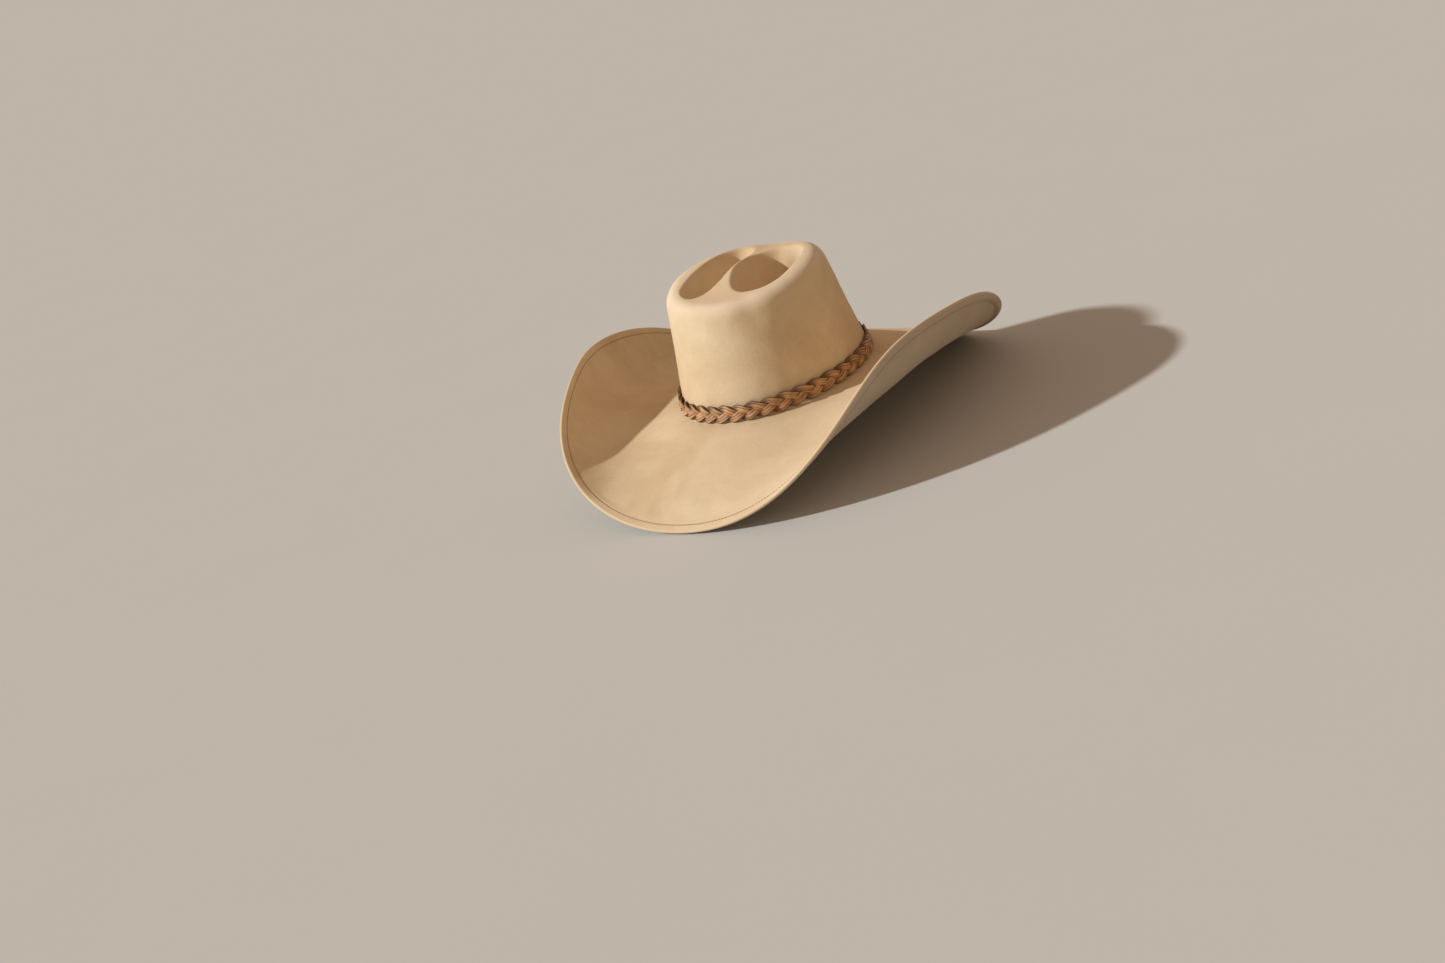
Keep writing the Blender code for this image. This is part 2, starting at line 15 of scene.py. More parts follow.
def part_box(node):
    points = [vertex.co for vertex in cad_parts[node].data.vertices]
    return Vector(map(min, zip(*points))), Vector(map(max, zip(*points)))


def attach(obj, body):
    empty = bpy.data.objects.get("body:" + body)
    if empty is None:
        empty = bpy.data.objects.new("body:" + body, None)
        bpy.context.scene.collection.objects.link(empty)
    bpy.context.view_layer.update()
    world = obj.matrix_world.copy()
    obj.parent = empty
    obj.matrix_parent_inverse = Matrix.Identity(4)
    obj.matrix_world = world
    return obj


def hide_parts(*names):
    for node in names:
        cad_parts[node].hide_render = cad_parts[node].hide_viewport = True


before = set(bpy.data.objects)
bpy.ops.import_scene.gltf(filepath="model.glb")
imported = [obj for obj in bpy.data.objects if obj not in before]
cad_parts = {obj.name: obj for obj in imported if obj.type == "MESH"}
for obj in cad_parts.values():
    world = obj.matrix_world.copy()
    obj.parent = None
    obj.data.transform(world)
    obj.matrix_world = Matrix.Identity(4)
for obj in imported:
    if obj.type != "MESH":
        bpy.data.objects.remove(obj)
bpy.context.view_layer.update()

MM = 0.001
TURN = 2.0 * math.pi

# -------- sizes of the CAD part, mm
HEAD_HALF_LENGTH = 102.0
HEAD_HALF_WIDTH = 84.6
FELT = 1.7
FOLD_WIDTH = 8.5
STITCH_INSET = 6.8
BRIM_WIDTH = (118.0, 122.5, 130.0, 134.0, 124.0)
BRIM_ROOT_SLOPE = (-17.1, -15.0, -5.0, -24.0, -21.7)
BRIM_EDGE_SLOPE = (-40.0, 15.3, 95.6, 91.3, 65.0, -7.7, -24.3)
BREAK_RADIUS = 3.0
CROWN_HEIGHT = (98.5, 101.0, 109.0, 110.0, 107.5)
CROWN_SKEW = 1.3
CROWN_TAPER = (22.0, 14.5, 10.0, 22.5, 31.0)
SHOULDER_DEPTH = (14.6, 15.5, 16.0)
SHOULDER_DROP = (11.3, 13.0, 15.0)
CIRCLE_HANDLE = 0.5523       # a Bezier handle that makes a quarter circle, in radii
RIDGE_HEIGHT = 112.0
RIDGE_OFFSET = (-5.0, -3.0)
PIT_DEPTH = 31.0
PIT_FLOOR = 0.55
PIT_SQUARENESS = 2.3
LEFT_PIT = {"centre": (25.0, -4.0), "half": (29.5, 46.0), "turn": 4.0}
RIGHT_PIT = {"centre": (-29.0, -2.5), "half": (21.5, 53.5), "turn": -4.5}
BRAID_PERIODS = 13
BRAID_HEIGHT = 8.0
BRAID_END_GAP = 2.4
KEEPER_LENGTH = 17.0
KEEPER_HALF_HEIGHT = 9.4
KEEPER_OUTER = 8.9
KEEPER_REACH = 4.2
KEEPER_WALL = 1.3
KEEPER_STITCH_INSET = (2.0, 3.0)
SWEATBAND_FOOT = 1.0
SWEATBAND_TOP = 56.0
SWEATBAND_THICKNESS = 0.9
REED_RADIUS = 0.8
REED_HEIGHT = 2.2
REED_ROW_HEIGHT = 6.0
TAPE_THICKNESS = 0.3
TAPE_SPAN = (3.2, 11.0)
ZIGZAG_SPAN = (11.0, 51.0)
ZIGZAG_HALF_WIDTH = 2.2
LINER_THICKNESS = 0.4
LINER_FOOT = 16.0
LINER_TOP = 66.0
TIP_CROWNING = 3.0
TIP_RISE = 0.9
PIPING_DROP = 0.8
PIPING_RADIUS = 0.8
SHIELD_HALF = (46.0, 58.0)
SHIELD_THICKNESS = 0.3
SHIELD_DROP = 0.6
SHIELD_CROWNING = 2.25
SHIELD_FALL = 1.35
BOW_HEIGHT = 44.0
GAP = 0.3
SPARE = 0.1
TAPE_IN = FELT + GAP + SPARE
REED_IN = TAPE_IN + TAPE_THICKNESS + GAP + REED_RADIUS
LINER_IN = FELT + GAP + SPARE
FOOT_IN = REED_IN + REED_RADIUS + GAP + SPARE
BODY_IN = LINER_IN + LINER_THICKNESS + GAP + SPARE
# The sweatband's section, as (inward, height): past the reed, beside the lining, then free.
SWEATBAND_FACES = [(FOOT_IN, SWEATBAND_FOOT), (FOOT_IN, 5.0), (BODY_IN, 13.0), (BODY_IN, 38.0),
                   (BODY_IN + 1.6, SWEATBAND_TOP)]

# -------- detail of the looks, mm
SIDES = 512                  # steps round the felt
RIPPLES = ((0.24, 62.0, 3), (0.045, 21.0, 4))    # the felt's unevenness: height, size, seed
DENT_DEPTH = 1.7             # a faint dent under the crown's edge, on the wearer's left front
DENT_ANGLE = 0.62            # radians
DENT_HALF_ANGLE = 0.17
DENT_HEIGHT = 88.0
DENT_HALF_HEIGHT = 13.0
PIT_SOFTNESS = 2.4           # radius over which the pits' edges are rounded
GROOVE_DEPTH = 0.34          # the stitches pull the brim's face in
EDGE_INSETS = (8.5, 8.0, 7.6, 7.3, 7.05, 6.8, 6.55, 6.3, 6.0, 5.6, 5.0, 4.2, 3.4, 2.5, 1.7)
# The folded lip from the brim's edge inwards, as (inset, depth under the brim's face).
LIP = ((1.7, 3.4), (3.0, 3.4), (4.4, 3.4), (5.6, 3.4), (6.2, 3.37), (6.8, 3.28), (7.4, 3.32),
       (7.9, 3.24), (8.3, 3.0), (8.7, 2.5), (9.1, 2.0), (9.5, 1.76), (10.0, 1.7))
STITCH_PITCH = 3.1
THREAD = 0.27                # radius of the thread

# The strands are wider, flatter and closer to the felt than their CAD solids, which stay apart.
BRAID_CLEARANCE = 2.5
BRAID_SWING = 3.95
BRAID_LIFT = 1.0
STRAND_STEPS = 44            # sections in a period of the weave
STRAND_WIDTH = 7.0
STRAND_THICKNESS = 1.6
STRAND_TILT = 0.15           # radians; a strand leans so that it nests under its neighbour
STRAND_STEP = 1.12           # from one section to the next along a strand
STRAND_GROOVES = (-0.36, 0.30)    # places across a strand, in half widths

KEEPER_CORNER = 2.2
SWEATBAND_LENGTH = 560.0
BOW_HALF_LENGTH = 13.3
KNOT_HALF_HEIGHT = 2.6
GATHER_FOOT = 36.0           # the lining's folds start here and deepen up to its top
PIPING_CORD = 0.72           # its radius, before the twist's rise

# -------- light and camera
FLOOR_TONE = (0.60, 0.62, 0.62)
BACKDROP = (0.522, 0.460, 0.392)
SKY = (0.45, 0.305, 0.21)
SKY_STRENGTH = 0.88
SUN_DIRECTION = (-0.6985, -0.5264, 0.4848)
SUN_STRENGTH = 3.15
SUN_SPREAD = 2.2             # degrees
SUN_COLOUR = (1.0, 0.985, 0.945)
VIEW_AZIMUTH = 33.9          # degrees, from the front towards the wearer's left
VIEW_ELEVATION = 18.7
VIEW_ROLL = 16.8
VIEW_DISTANCE = 1.43         # metres from the head oval's centre
LENS = 38.62
LENS_SHIFT = (-0.0382, -0.0743)

# The head oval's centre at the brim break, from the pieces that stand on it.
shield_low, shield_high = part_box("tip_shield")
sweatband_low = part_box("sweatband")[0]
origin = np.array([
    0.5 * (shield_low.x + shield_high.x),
    0.5 * (shield_low.y + shield_high.y) - RIDGE_OFFSET[1] * MM,
    sweatband_low.z - SWEATBAND_FOOT * MM,
])


# -------- geometry of the hat
def around(stations):
    """A smooth value round the hat that passes through stations from front to back."""
    order = np.arange(len(stations))
    terms = np.linalg.solve(np.cos(np.outer(order, order) * math.pi / order[-1]), stations)

    def value_at(angle):
        return sum(term * np.cos(k * np.asarray(angle)) for k, term in enumerate(terms))

    return value_at


brim_width = around(BRIM_WIDTH)
brim_root_slope = around(BRIM_ROOT_SLOPE)
brim_edge_slope = around(BRIM_EDGE_SLOPE)
crown_mean_height = around(CROWN_HEIGHT)
crown_taper = around(CROWN_TAPER)
shoulder_depth = around(SHOULDER_DEPTH)
shoulder_drop = around(SHOULDER_DROP)


def crown_height(angle):
    return crown_mean_height(angle) - CROWN_SKEW * np.sin(angle)


def place(angle, out, height):
    """Points that lie out beyond the head oval at these angles and heights, in mm."""
    angle, out, height = np.broadcast_arrays(angle, out, height)
    side = np.sin(angle)
    front = -np.cos(angle)
    nx = side / HEAD_HALF_WIDTH
    ny = front / HEAD_HALF_LENGTH
    size = np.hypot(nx, ny)
    x = side * HEAD_HALF_WIDTH + nx / size * out
    y = front * HEAD_HALF_LENGTH + ny / size * out
    return np.stack([x, y, height], -1)


def wall_lean(angle, height):
    return crown_taper(angle) * height / (crown_height(angle) - shoulder_drop(angle))


def beside_wall(angle, out, height):
    """Points that lie out beyond the crown's leaning wall."""
    return place(angle, out - wall_lean(angle, height), height)


def brim_points(angle, distance, sums=60):
    """Out and height on the brim's upper face, a distance from the brim break."""
    width = brim_width(angle)
    root = np.radians(brim_root_slope(angle))
    edge = np.radians(brim_edge_slope(angle))
    step = distance / sums
    out = np.zeros_like(distance)
    height = np.zeros_like(distance)
    for k in range(sums):
        slope = root + (edge - root) * ((k + 0.5) * step / width) ** 2
        out = out + np.cos(slope) * step
        height = height + np.sin(slope) * step
    return out, height


def bezier(points, t):
    while len(points) > 1:
        points = [a + (b - a) * t for a, b in zip(points, points[1:])]
    return points[0]


def smooth_step(value):
    value = np.clip(value, 0.0, 1.0)
    return value * value * (3.0 - 2.0 * value)


def pit_depth(pit, x, y):
    turn = math.radians(pit["turn"])
    dx = x - pit["centre"][0]
    dy = y - pit["centre"][1]
    across = np.abs((dx * math.cos(turn) + dy * math.sin(turn)) / pit["half"][0])
    along = np.abs((dy * math.cos(turn) - dx * math.sin(turn)) / pit["half"][1])
    reach = (across ** PIT_SQUARENESS + along ** PIT_SQUARENESS) ** (1.0 / PIT_SQUARENESS)
    return PIT_DEPTH * (1.0 - smooth_step((reach - PIT_FLOOR) / (1.0 - PIT_FLOOR)))


def both_pits(x, y):
    """The depth of the two crown pits, averaged over a small disc so that felt bends softly."""
    spots = [(0.0, 0.0)] + [(PIT_SOFTNESS * math.cos(t), PIT_SOFTNESS * math.sin(t))
                            for t in turns(10)]
    return sum(pit_depth(pit, x + dx, y + dy) for pit in (LEFT_PIT, RIGHT_PIT)
               for dx, dy in spots) / len(spots)


def shoulder_points(angle, t):
    lean = crown_taper(angle)
    top = crown_height(angle)
    drop = shoulder_drop(angle)
    depth = shoulder_depth(angle)
    length = np.hypot(lean, top - drop)
    wall_out = -lean / length * drop * CIRCLE_HANDLE
    wall_up = (top - drop) / length * drop * CIRCLE_HANDLE
    out = bezier([-lean, -lean + wall_out, -lean - depth * (1.0 - CIRCLE_HANDLE), -lean - depth], t)
    height = bezier([top - drop, top - drop + wall_up, top, top], t)
    return out, height


def ripple(points, size, seed, waves=18):
    """Smooth random values about 1 high, size mm from hill to hill."""
    rng = np.random.default_rng(seed)
    total = np.zeros(points.shape[:-1])
    for _ in range(waves):
        direction = rng.normal(size=3)
        direction *= TURN / size / np.linalg.norm(direction) * rng.uniform(0.6, 1.4)
        total += np.sin(points @ direction + rng.uniform(0.0, TURN))
    return total / math.sqrt(0.5 * waves)


# -------- meshes
def grid_mesh(name, points, loop_rows=False, caps=False, poles=None, lengths=None, values=None):
    """An object from rows of points in mm; each row is a closed ring.

    lengths are (along the rows, round a row) in mm for the UV map, and values are named
    numbers per point for the material.
    """
    rows, count = points.shape[:2]
    spots = points.reshape(-1, 3)
    if poles is not None:
        spots = np.vstack([spots, poles])
    row = np.arange(rows if loop_rows else rows - 1)[:, None]
    column = np.arange(count)[None, :]
    below = (row + 1) % rows * count
    beside = (column + 1) % count
    quads = np.stack([row * count + column, row * count + beside, below + beside, below + column], -1)
    quads = quads.reshape(-1, 4)
    faces = quads.tolist()
    foot = (rows - 1) * count
    if poles is not None:
        first = rows * count
        faces += [[first, (k + 1) % count, k] for k in range(count)]
        faces += [[first + 1, foot + k, foot + (k + 1) % count] for k in range(count)]
    if caps:
        faces.append(list(range(count))[::-1])
        faces.append([foot + k for k in range(count)])
    mesh = bpy.data.meshes.new(name)
    mesh.from_pydata((spots * MM + origin).tolist(), [], faces)
    if lengths is not None:
        along = np.linspace(0.0, lengths[0], rows)
        start = along[row] + 0 * column
        end = along[(row + 1) % rows] + 0 * column
        if loop_rows:
            end[-1] = along[-1] + (along[-1] - along[-2])
        left = column + 0 * row
        uv = np.zeros((len(mesh.loops), 2))
        uv[:quads.size, 0] = np.stack([start, start, end, end], -1).reshape(-1) * MM
        round_row = np.stack([left, left + 1, left + 1, left], -1) * lengths[1] / count
        uv[:quads.size, 1] = round_row.reshape(-1) * MM
        layer = mesh.uv_layers.new(name="lengths")
        layer.data.foreach_set("uv", uv.reshape(-1))
    for label, numbers in (values or {}).items():
        layer = mesh.attributes.new(label, "FLOAT", "POINT")
        full = np.zeros(len(spots))
        full[:rows * count] = np.broadcast_to(numbers, (rows, count)).reshape(-1)
        layer.data.foreach_set("value", full)
    a, b, c, d = (spots[quads[:, k]] for k in range(4))
    volume = np.sum(a * (np.cross(b, c) + np.cross(c, d)))
    if volume < 0.0:
        mesh.flip_normals()
    mesh.shade_smooth()
    return link(name, mesh)


def link(name, data):
    made = bpy.data.objects.new(name, data)
    bpy.context.scene.collection.objects.link(made)
    return made


def dress(piece, material, body, slot, *nodes, sharp=None):
    """Material, body and the CAD nodes that a piece stands for; slot is not used."""
    piece.data.materials.clear()
    piece.data.materials.append(material)
    if sharp is not None:
        piece.data.set_sharp_from_angle(angle=math.radians(sharp))
    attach(piece, body)
    if nodes:
        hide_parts(*nodes)


def turns(count, start=0.0, end=TURN, ends=False):
    return np.linspace(start, end, count, endpoint=ends)


def squarer(wave, power):
    """A sine or cosine pushed out towards 1 and -1, for sections with square shoulders."""
    return np.sign(wave) * np.abs(wave) ** power


def unit(vectors):
    return vectors / np.maximum(np.linalg.norm(vectors, axis=-1, keepdims=True), 1e-9)


def tube(name, path, radius, outward, sides=8, closed=False):
    """A round thread or cord along a path; outward points away from its surface."""
    if closed:
        padded = np.vstack([path[-1:], path, path[:1]])
        along = unit(padded[2:] - padded[:-2])
    else:
        along = unit(np.gradient(path, axis=0))
    side = unit(np.cross(along, outward))
    up = unit(np.cross(side, along))
    t = turns(sides)
    radius = np.broadcast_to(radius, (len(path),))[:, None, None]
    ring = np.cos(t)[None, :, None] * up[:, None] + np.sin(t)[None, :, None] * side[:, None]
    return grid_mesh(name, path[:, None] + radius * ring, loop_rows=closed, caps=not closed)


def stitch_row(name, path, outward, length, lift, radius=THREAD, sides=6, steps=7):
    """Separate stitches: each arches over the surface and dives into it at both ends.

    Two points of path hold one stitch between them.
    """
    lean_spread = 0.06       # radians
    length_spread = 0.04
    dive = 1.4               # how far the ends go in, in radii
    taper = 0.25             # how much thinner the ends are
    middles = 0.5 * (path[1:] + path[:-1])
    along = unit(path[1:] - path[:-1])
    out = unit(0.5 * (outward[1:] + outward[:-1]))
    side = unit(np.cross(along, out))
    rng = np.random.default_rng(len(path))
    count = len(middles)
    along = unit(along + side * rng.normal(0.0, lean_spread, count)[:, None])
    sizes = length * (1.0 + rng.normal(0.0, length_spread, count))
    share = np.linspace(-1.0, 1.0, steps)
    rise = lift * (1.0 - share ** 2) - dive * radius * share ** 6
    girth = radius * (1.0 - taper * share ** 8)
    t = turns(sides)
    band = [[j, (j + 1) % sides, (j + 1) % sides + sides, j + sides] for j in range(sides)]
    spots = []
    faces = []
    for k in range(count):
        line = middles[k] + along[k] * (0.5 * sizes[k] * share)[:, None] + out[k] * rise[:, None]
        ring = np.cos(t)[:, None] * out[k] + np.sin(t)[:, None] * np.cross(along[k], out[k])
        spots.append((line[:, None] + girth[:, None, None] * ring).reshape(-1, 3))
        first = k * steps * sides
        for start in range(first, first + (steps - 1) * sides, sides):
            faces += [[start + corner for corner in quad] for quad in band]
        faces.append(list(range(first, first + sides))[::-1])
        faces.append(list(range(first + (steps - 1) * sides, first + steps * sides)))
    mesh = bpy.data.meshes.new(name)
    mesh.from_pydata((np.vstack(spots) * MM + origin).tolist(), [], faces)
    mesh.shade_smooth()
    return link(name, mesh)


def even_spots(lines, pitch):
    """Points pitch apart along a closed line, the first of lines, and the others read there."""
    looped = [np.vstack([line, line[:1]]) for line in lines]
    steps = np.linalg.norm(np.diff(looped[0], axis=0), axis=1)
    reach = np.concatenate([[0.0], np.cumsum(steps)])
    wanted = np.linspace(0.0, reach[-1], int(round(reach[-1] / pitch)) + 1)
    return [np.stack([np.interp(wanted, reach, line[:, k]) for k in range(3)], -1)
            for line in looped]


# -------- felt
def felt_surface(stations):
    """Outer face of the felt at stations (kind, value), as rings of points in mm."""
    angle = turns(SIDES)
    rings = []
    for kind, value in stations:
        if kind == "top":
            rim = place(angle, *shoulder_points(angle, 1.0))
            x = RIDGE_OFFSET[0] + (rim[:, 0] - RIDGE_OFFSET[0]) * value
            y = RIDGE_OFFSET[1] + (rim[:, 1] - RIDGE_OFFSET[1]) * value
            z = RIDGE_HEIGHT + (rim[:, 2] - RIDGE_HEIGHT) * smooth_step(value)
            rings.append(np.stack([x, y, z - both_pits(x, y)], -1))
        elif kind == "shoulder":
            rings.append(place(angle, *shoulder_points(angle, value)))
        elif kind == "wall":
            top = crown_height(angle) - shoulder_drop(angle)
            height = BREAK_RADIUS + (top - BREAK_RADIUS) * value
            rings.append(beside_wall(angle, 0.0, height))
        elif kind == "break":
            out, height = brim_points(angle, np.full(SIDES, BREAK_RADIUS))
            lean = -wall_lean(angle, BREAK_RADIUS)
            rings.append(place(angle, bezier([out, 0.0, lean], value),
                               bezier([height, 0.0, BREAK_RADIUS], value)))
        elif kind == "brim":
            reach = BREAK_RADIUS + (brim_width(angle) - FOLD_WIDTH - BREAK_RADIUS) * value
            rings.append(place(angle, *brim_points(angle, reach)))
        else:
            rings.append(place(angle, *brim_points(angle, brim_width(angle) - value)))
    return np.stack(rings)


def felt_normals(points, pole):
    """Outward normals of the outer face, by differences along and round the rings."""
    down = np.gradient(np.vstack([np.broadcast_to(pole, (1, SIDES, 3)), points]), axis=0)[1:]
    round_it = np.roll(points, -1, axis=1) - np.roll(points, 1, axis=1)
    return unit(np.cross(down, round_it))


def felt_stations():
    """Rings from the crown's middle out to the brim's edge, round it and back inside.

    Returns the stations, each one's depth under the outer face, and how many are outside.
    """
    edge_arc = [math.pi * k / 8 for k in range(1, 8)]
    outer = [("top", k / 46) for k in range(1, 46)]
    outer += [("shoulder", 1.0 - k / 14) for k in range(15)]
    outer += [("wall", 1.0 - k / 26) for k in range(1, 26)]
    outer += [("break", 1.0 - k / 7) for k in range(8)]
    outer += [("brim", k / 44) for k in range(1, 44)]
    inner = outer[::-2]
    outer += [("edge", inset) for inset in EDGE_INSETS]
    arc = [("edge", FELT - FELT * math.sin(t)) for t in edge_arc]
    lip = [("edge", inset) for inset, _ in LIP]
    depth = [0.0] * len(outer) + [FELT - FELT * math.cos(t) for t in edge_arc]
    depth += [lip_depth for _, lip_depth in LIP] + [FELT] * len(inner)
    return outer + arc + lip + inner, np.array(depth), len(outer)


def ring_normals(stations, outside, pole):
    """Each ring's outward normals: its own on the outer face, or the nearest edge ring's."""
    outer = stations[:outside]
    normal = felt_normals(felt_surface(outer), pole)
    place_of = {station: k for k, station in enumerate(outer)}
    edge = range(outside - len(EDGE_INSETS), outside)
    return np.stack([
        normal[place_of[station]] if station in place_of
        else normal[min(edge, key=lambda k: abs(outer[k][1] - station[1]))]
        for station in stations])


def painted_band_foot_shade(kind, value):
    """Weight of painted shade: 1 at the crown's foot, by the band, fading up the wall and out over the
    brim.
    """
    if kind == "break":
        return 1.0
    fade = {"wall": 24.0 / 85.0, "brim": 16.0 / 110.0}
    return max(0.0, 1.0 - value / fade[kind]) if kind in fade else 0.0


def painted_crest_highlight(kind, value):
    """Weight of a painted highlight, highest along the crown's edge."""
    if kind == "shoulder":
        return math.exp(-((value - 0.62) / 0.36) ** 2)
    return 0.33 * max(0.0, (value - 0.9) / 0.1) if kind == "top" else 0.0


def felt_values(stations, depth, points, normals):
    """Numbers per point that the felt's material reads; they weight painted shade and painted highlight.

    The painted shade on the pit wall covers the front-facing wall of the pit on the wearer's left, where
    the light falls.
    """
    kinds = np.array([kind for kind, _ in stations])
    inset = edge_insets(stations)
    # rim weights a painted highlight along the brim's edge, weaker under the fold.
    rim = np.exp(-np.maximum(inset - 0.6, 0.0) ** 2)
    rim[(inset >= FELT) & (depth > 0.0)] *= 0.4
    # Depth in the pits, 0 to 1, which weights painted shade in the pits.
    pits = np.zeros(points.shape[:2])
    top = points[kinds == "top"]
    pits[kinds == "top"] = both_pits(top[..., 0], top[..., 1]) / PIT_DEPTH
    # Painted shade on the front-facing wall of the pit on the wearer's left, where the light falls.
    faces_front = np.clip(-1.7 * normals[..., 1], 0.0, 1.0)
    left_side = smooth_step((points[..., 0] - 16.0) / 14.0)
    # The brim's underside, painted darker as shade.
    painted_underside_shade = np.isin(kinds, ("brim", "edge")) & (depth > FELT - SPARE)
    return {
        "painted_underside_shade": painted_underside_shade[:, None],
        "painted_crest_highlight": np.array([painted_crest_highlight(*station) for station in stations])[:, None],
        "painted_pit_wall_shade": np.clip(2.2 * pits, 0.0, 1.0) * faces_front * left_side,
        "rim": rim[:, None],
        # painted shade along the stitch groove
        "painted_stitch_groove_shade": np.exp(-((inset - STITCH_INSET) / 0.8) ** 2)[:, None],
        "painted_band_foot_shade": np.array([painted_band_foot_shade(*station) for station in stations])[:, None],
        "pit": pits,
    }


def edge_insets(stations):
    """How far in from the brim's edge each ring lies; far for rings that aren't on the edge."""
    return np.array([value if kind == "edge" else 99.0 for kind, value in stations])


def make_felt():
    stations, depth, outside = felt_stations()
    points = felt_surface(stations)
    x, y = RIDGE_OFFSET
    top = np.array([x, y, RIDGE_HEIGHT - both_pits(x, y)])
    normals = ring_normals(stations, outside, top)

    kinds = np.array([kind for kind, _ in stations])
    uneven = sum(height * ripple(points, size, seed) for height, size, seed in RIPPLES)
    dent = DENT_DEPTH * np.exp(-((turns(SIDES)[None, :] - DENT_ANGLE) / DENT_HALF_ANGLE) ** 2
                               - ((points[:, :, 2] - DENT_HEIGHT) / DENT_HALF_HEIGHT) ** 2)
    uneven -= dent * np.isin(kinds, ("wall", "shoulder"))[:, None]
    uneven *= np.isin(kinds, ("wall", "shoulder", "top", "brim"))[:, None]
    groove = GROOVE_DEPTH * np.exp(-((edge_insets(stations) - STITCH_INSET) / 0.5) ** 2)
    groove[depth > 0.0] = 0.0
    points = points + normals * (uneven - (groove + depth)[:, None])[..., None]
    poles = np.array([top, top - [0.0, 0.0, FELT]])
    values = felt_values(stations, depth, points, normals)
    piece = grid_mesh("felt_crown_and_brim", points, poles=poles, values=values)
    dress(piece, felt_material(), "hat", "felt", "felt_body")


def make_edge_stitches():
    """Two rows of stitches hold the folded edge: one on the brim, one under it."""
    angle = turns(4 * SIDES)
    reach = brim_width(angle) - STITCH_INSET
    spots = place(angle, *brim_points(angle, reach))
    inner = place(angle, *brim_points(angle, reach - 0.5))
    outer = place(angle, *brim_points(angle, reach + 0.5))
    round_it = np.roll(spots, -1, axis=0) - np.roll(spots, 1, axis=0)
    normal = unit(np.cross(outer - inner, round_it))
    line, out = even_spots((spots, normal), STITCH_PITCH)
    thread = thread_material("edge thread", (0.36, 0.225, 0.115))
    piece = stitch_row("edge_stitches_upper", line - (GROOVE_DEPTH - 0.02) * out, out, 2.5, 0.22)
    dress(piece, thread, "hat", "edge_thread", "brim_stitch_upper")
    piece = stitch_row("edge_stitches_under", line - (2.0 * FELT - 0.1) * out, -out, 2.3, 0.2)
    under_thread = thread_material("under thread", (0.49, 0.37, 0.24))
    dress(piece, under_thread, "hat", "edge_thread", "brim_stitch_under")
    return thread


# -------- braided band
def strand_outline(weave, wobble, count=80):
    """A strand's sections, flat and rounded, with grooves that wander along the strand."""
    wander = 0.13            # these are in half widths and half thicknesses
    half_width = 0.095
    groove_depth = 0.42
    camber = 0.22
    t = turns(count)[None, :]
    across = squarer(np.cos(t), 0.75) + 0.0 * weave[:, None]
    face = squarer(np.sin(t), 0.5)
    groove = np.zeros(across.shape)
    for middle, phase in zip(STRAND_GROOVES, wobble):
        spot = middle + wander * np.sin(0.43 * weave + phase)
        cut = 0.72 + 0.28 * np.sin(0.31 * weave + 2.0 * phase)
        groove += cut[:, None] * np.exp(-((across - spot[:, None]) / half_width) ** 2)
    depth = face * (1.0 - camber * across ** 2 - groove_depth * groove)
    return across, depth, groove


def hand_made(weave, amount, rate, phase):
    """About 1: how a hand-laid strand strays slowly from an even one."""
    return 1.0 + amount * np.sin(rate * weave + phase)


def weave_rise(weave):
    """The height of a strand in its weave: long straight diagonals and tight turns."""
    return (np.sin(weave) - 0.075 * np.sin(3.0 * weave)) / 1.075


def make_braid():
    half_gap = 0.5 * BRAID_END_GAP / HEAD_HALF_WIDTH
    count = BRAID_PERIODS * STRAND_STEPS + 1
    angle = turns(count, math.pi + half_gap, 3.0 * math.pi - half_gap, ends=True)
    radius = 0.5 * (HEAD_HALF_WIDTH + HEAD_HALF_LENGTH)
    for number in range(3):
        wobble = np.random.default_rng(20 + number).uniform(0.0, TURN, 6)
        weave = TURN * np.arange(count) / STRAND_STEPS + TURN * number / 3.0
        across, depth, groove = strand_outline(weave, wobble[4:])
        swing = BRAID_SWING * hand_made(weave, 0.045, 1.0 / 3.7, wobble[0])
        rise = swing * weave_rise(weave) + 0.22 * np.sin(weave / 2.3 + wobble[1])
        lift = -BRAID_LIFT * np.sin(2.0 * weave) * hand_made(weave, 0.06, 1.0 / 1.9, wobble[2])
        width = STRAND_WIDTH * hand_made(weave, 0.05, 0.71, wobble[2])
        thickness = STRAND_THICKNESS * hand_made(weave, 0.05, 3.0, wobble[3])
        tilt = -STRAND_TILT * np.cos(weave)[:, None]
        across_strand = 0.5 * width[:, None] * across
        off_middle = 0.5 * thickness[:, None] * depth
        up = across_strand * np.cos(tilt) - off_middle * np.sin(tilt)
        out = across_strand * np.sin(tilt) + off_middle * np.cos(tilt)
        slope = (np.gradient(rise) / (np.gradient(angle) * radius))[:, None]
        stretch = np.sqrt(1.0 + slope ** 2)
        turned = np.clip(angle[:, None] - slope * up / stretch / radius, angle[0], angle[-1])
        points = beside_wall(turned, BRAID_CLEARANCE + lift[:, None] + out,
                             BRAID_HEIGHT + rise[:, None] + up / stretch)
        # Weights for the leather's painted shade: in the grooves, at the edges and where a strand lies
        # under its neighbour.
        values = {
            "ridge": 1.0 - groove,
            "edge": np.abs(across) ** 6,
            "outside": 0.5 + 0.5 * lift[:, None] / BRAID_LIFT,
        }
        piece = grid_mesh("braid_strand_" + str(number + 1), points, caps=True,
                          lengths=(count * STRAND_STEP, 2.0 * STRAND_WIDTH), values=values)
        dress(piece, leather["braid"], "hat_band", "braid_leather", "band_strand_" + str(number + 1))


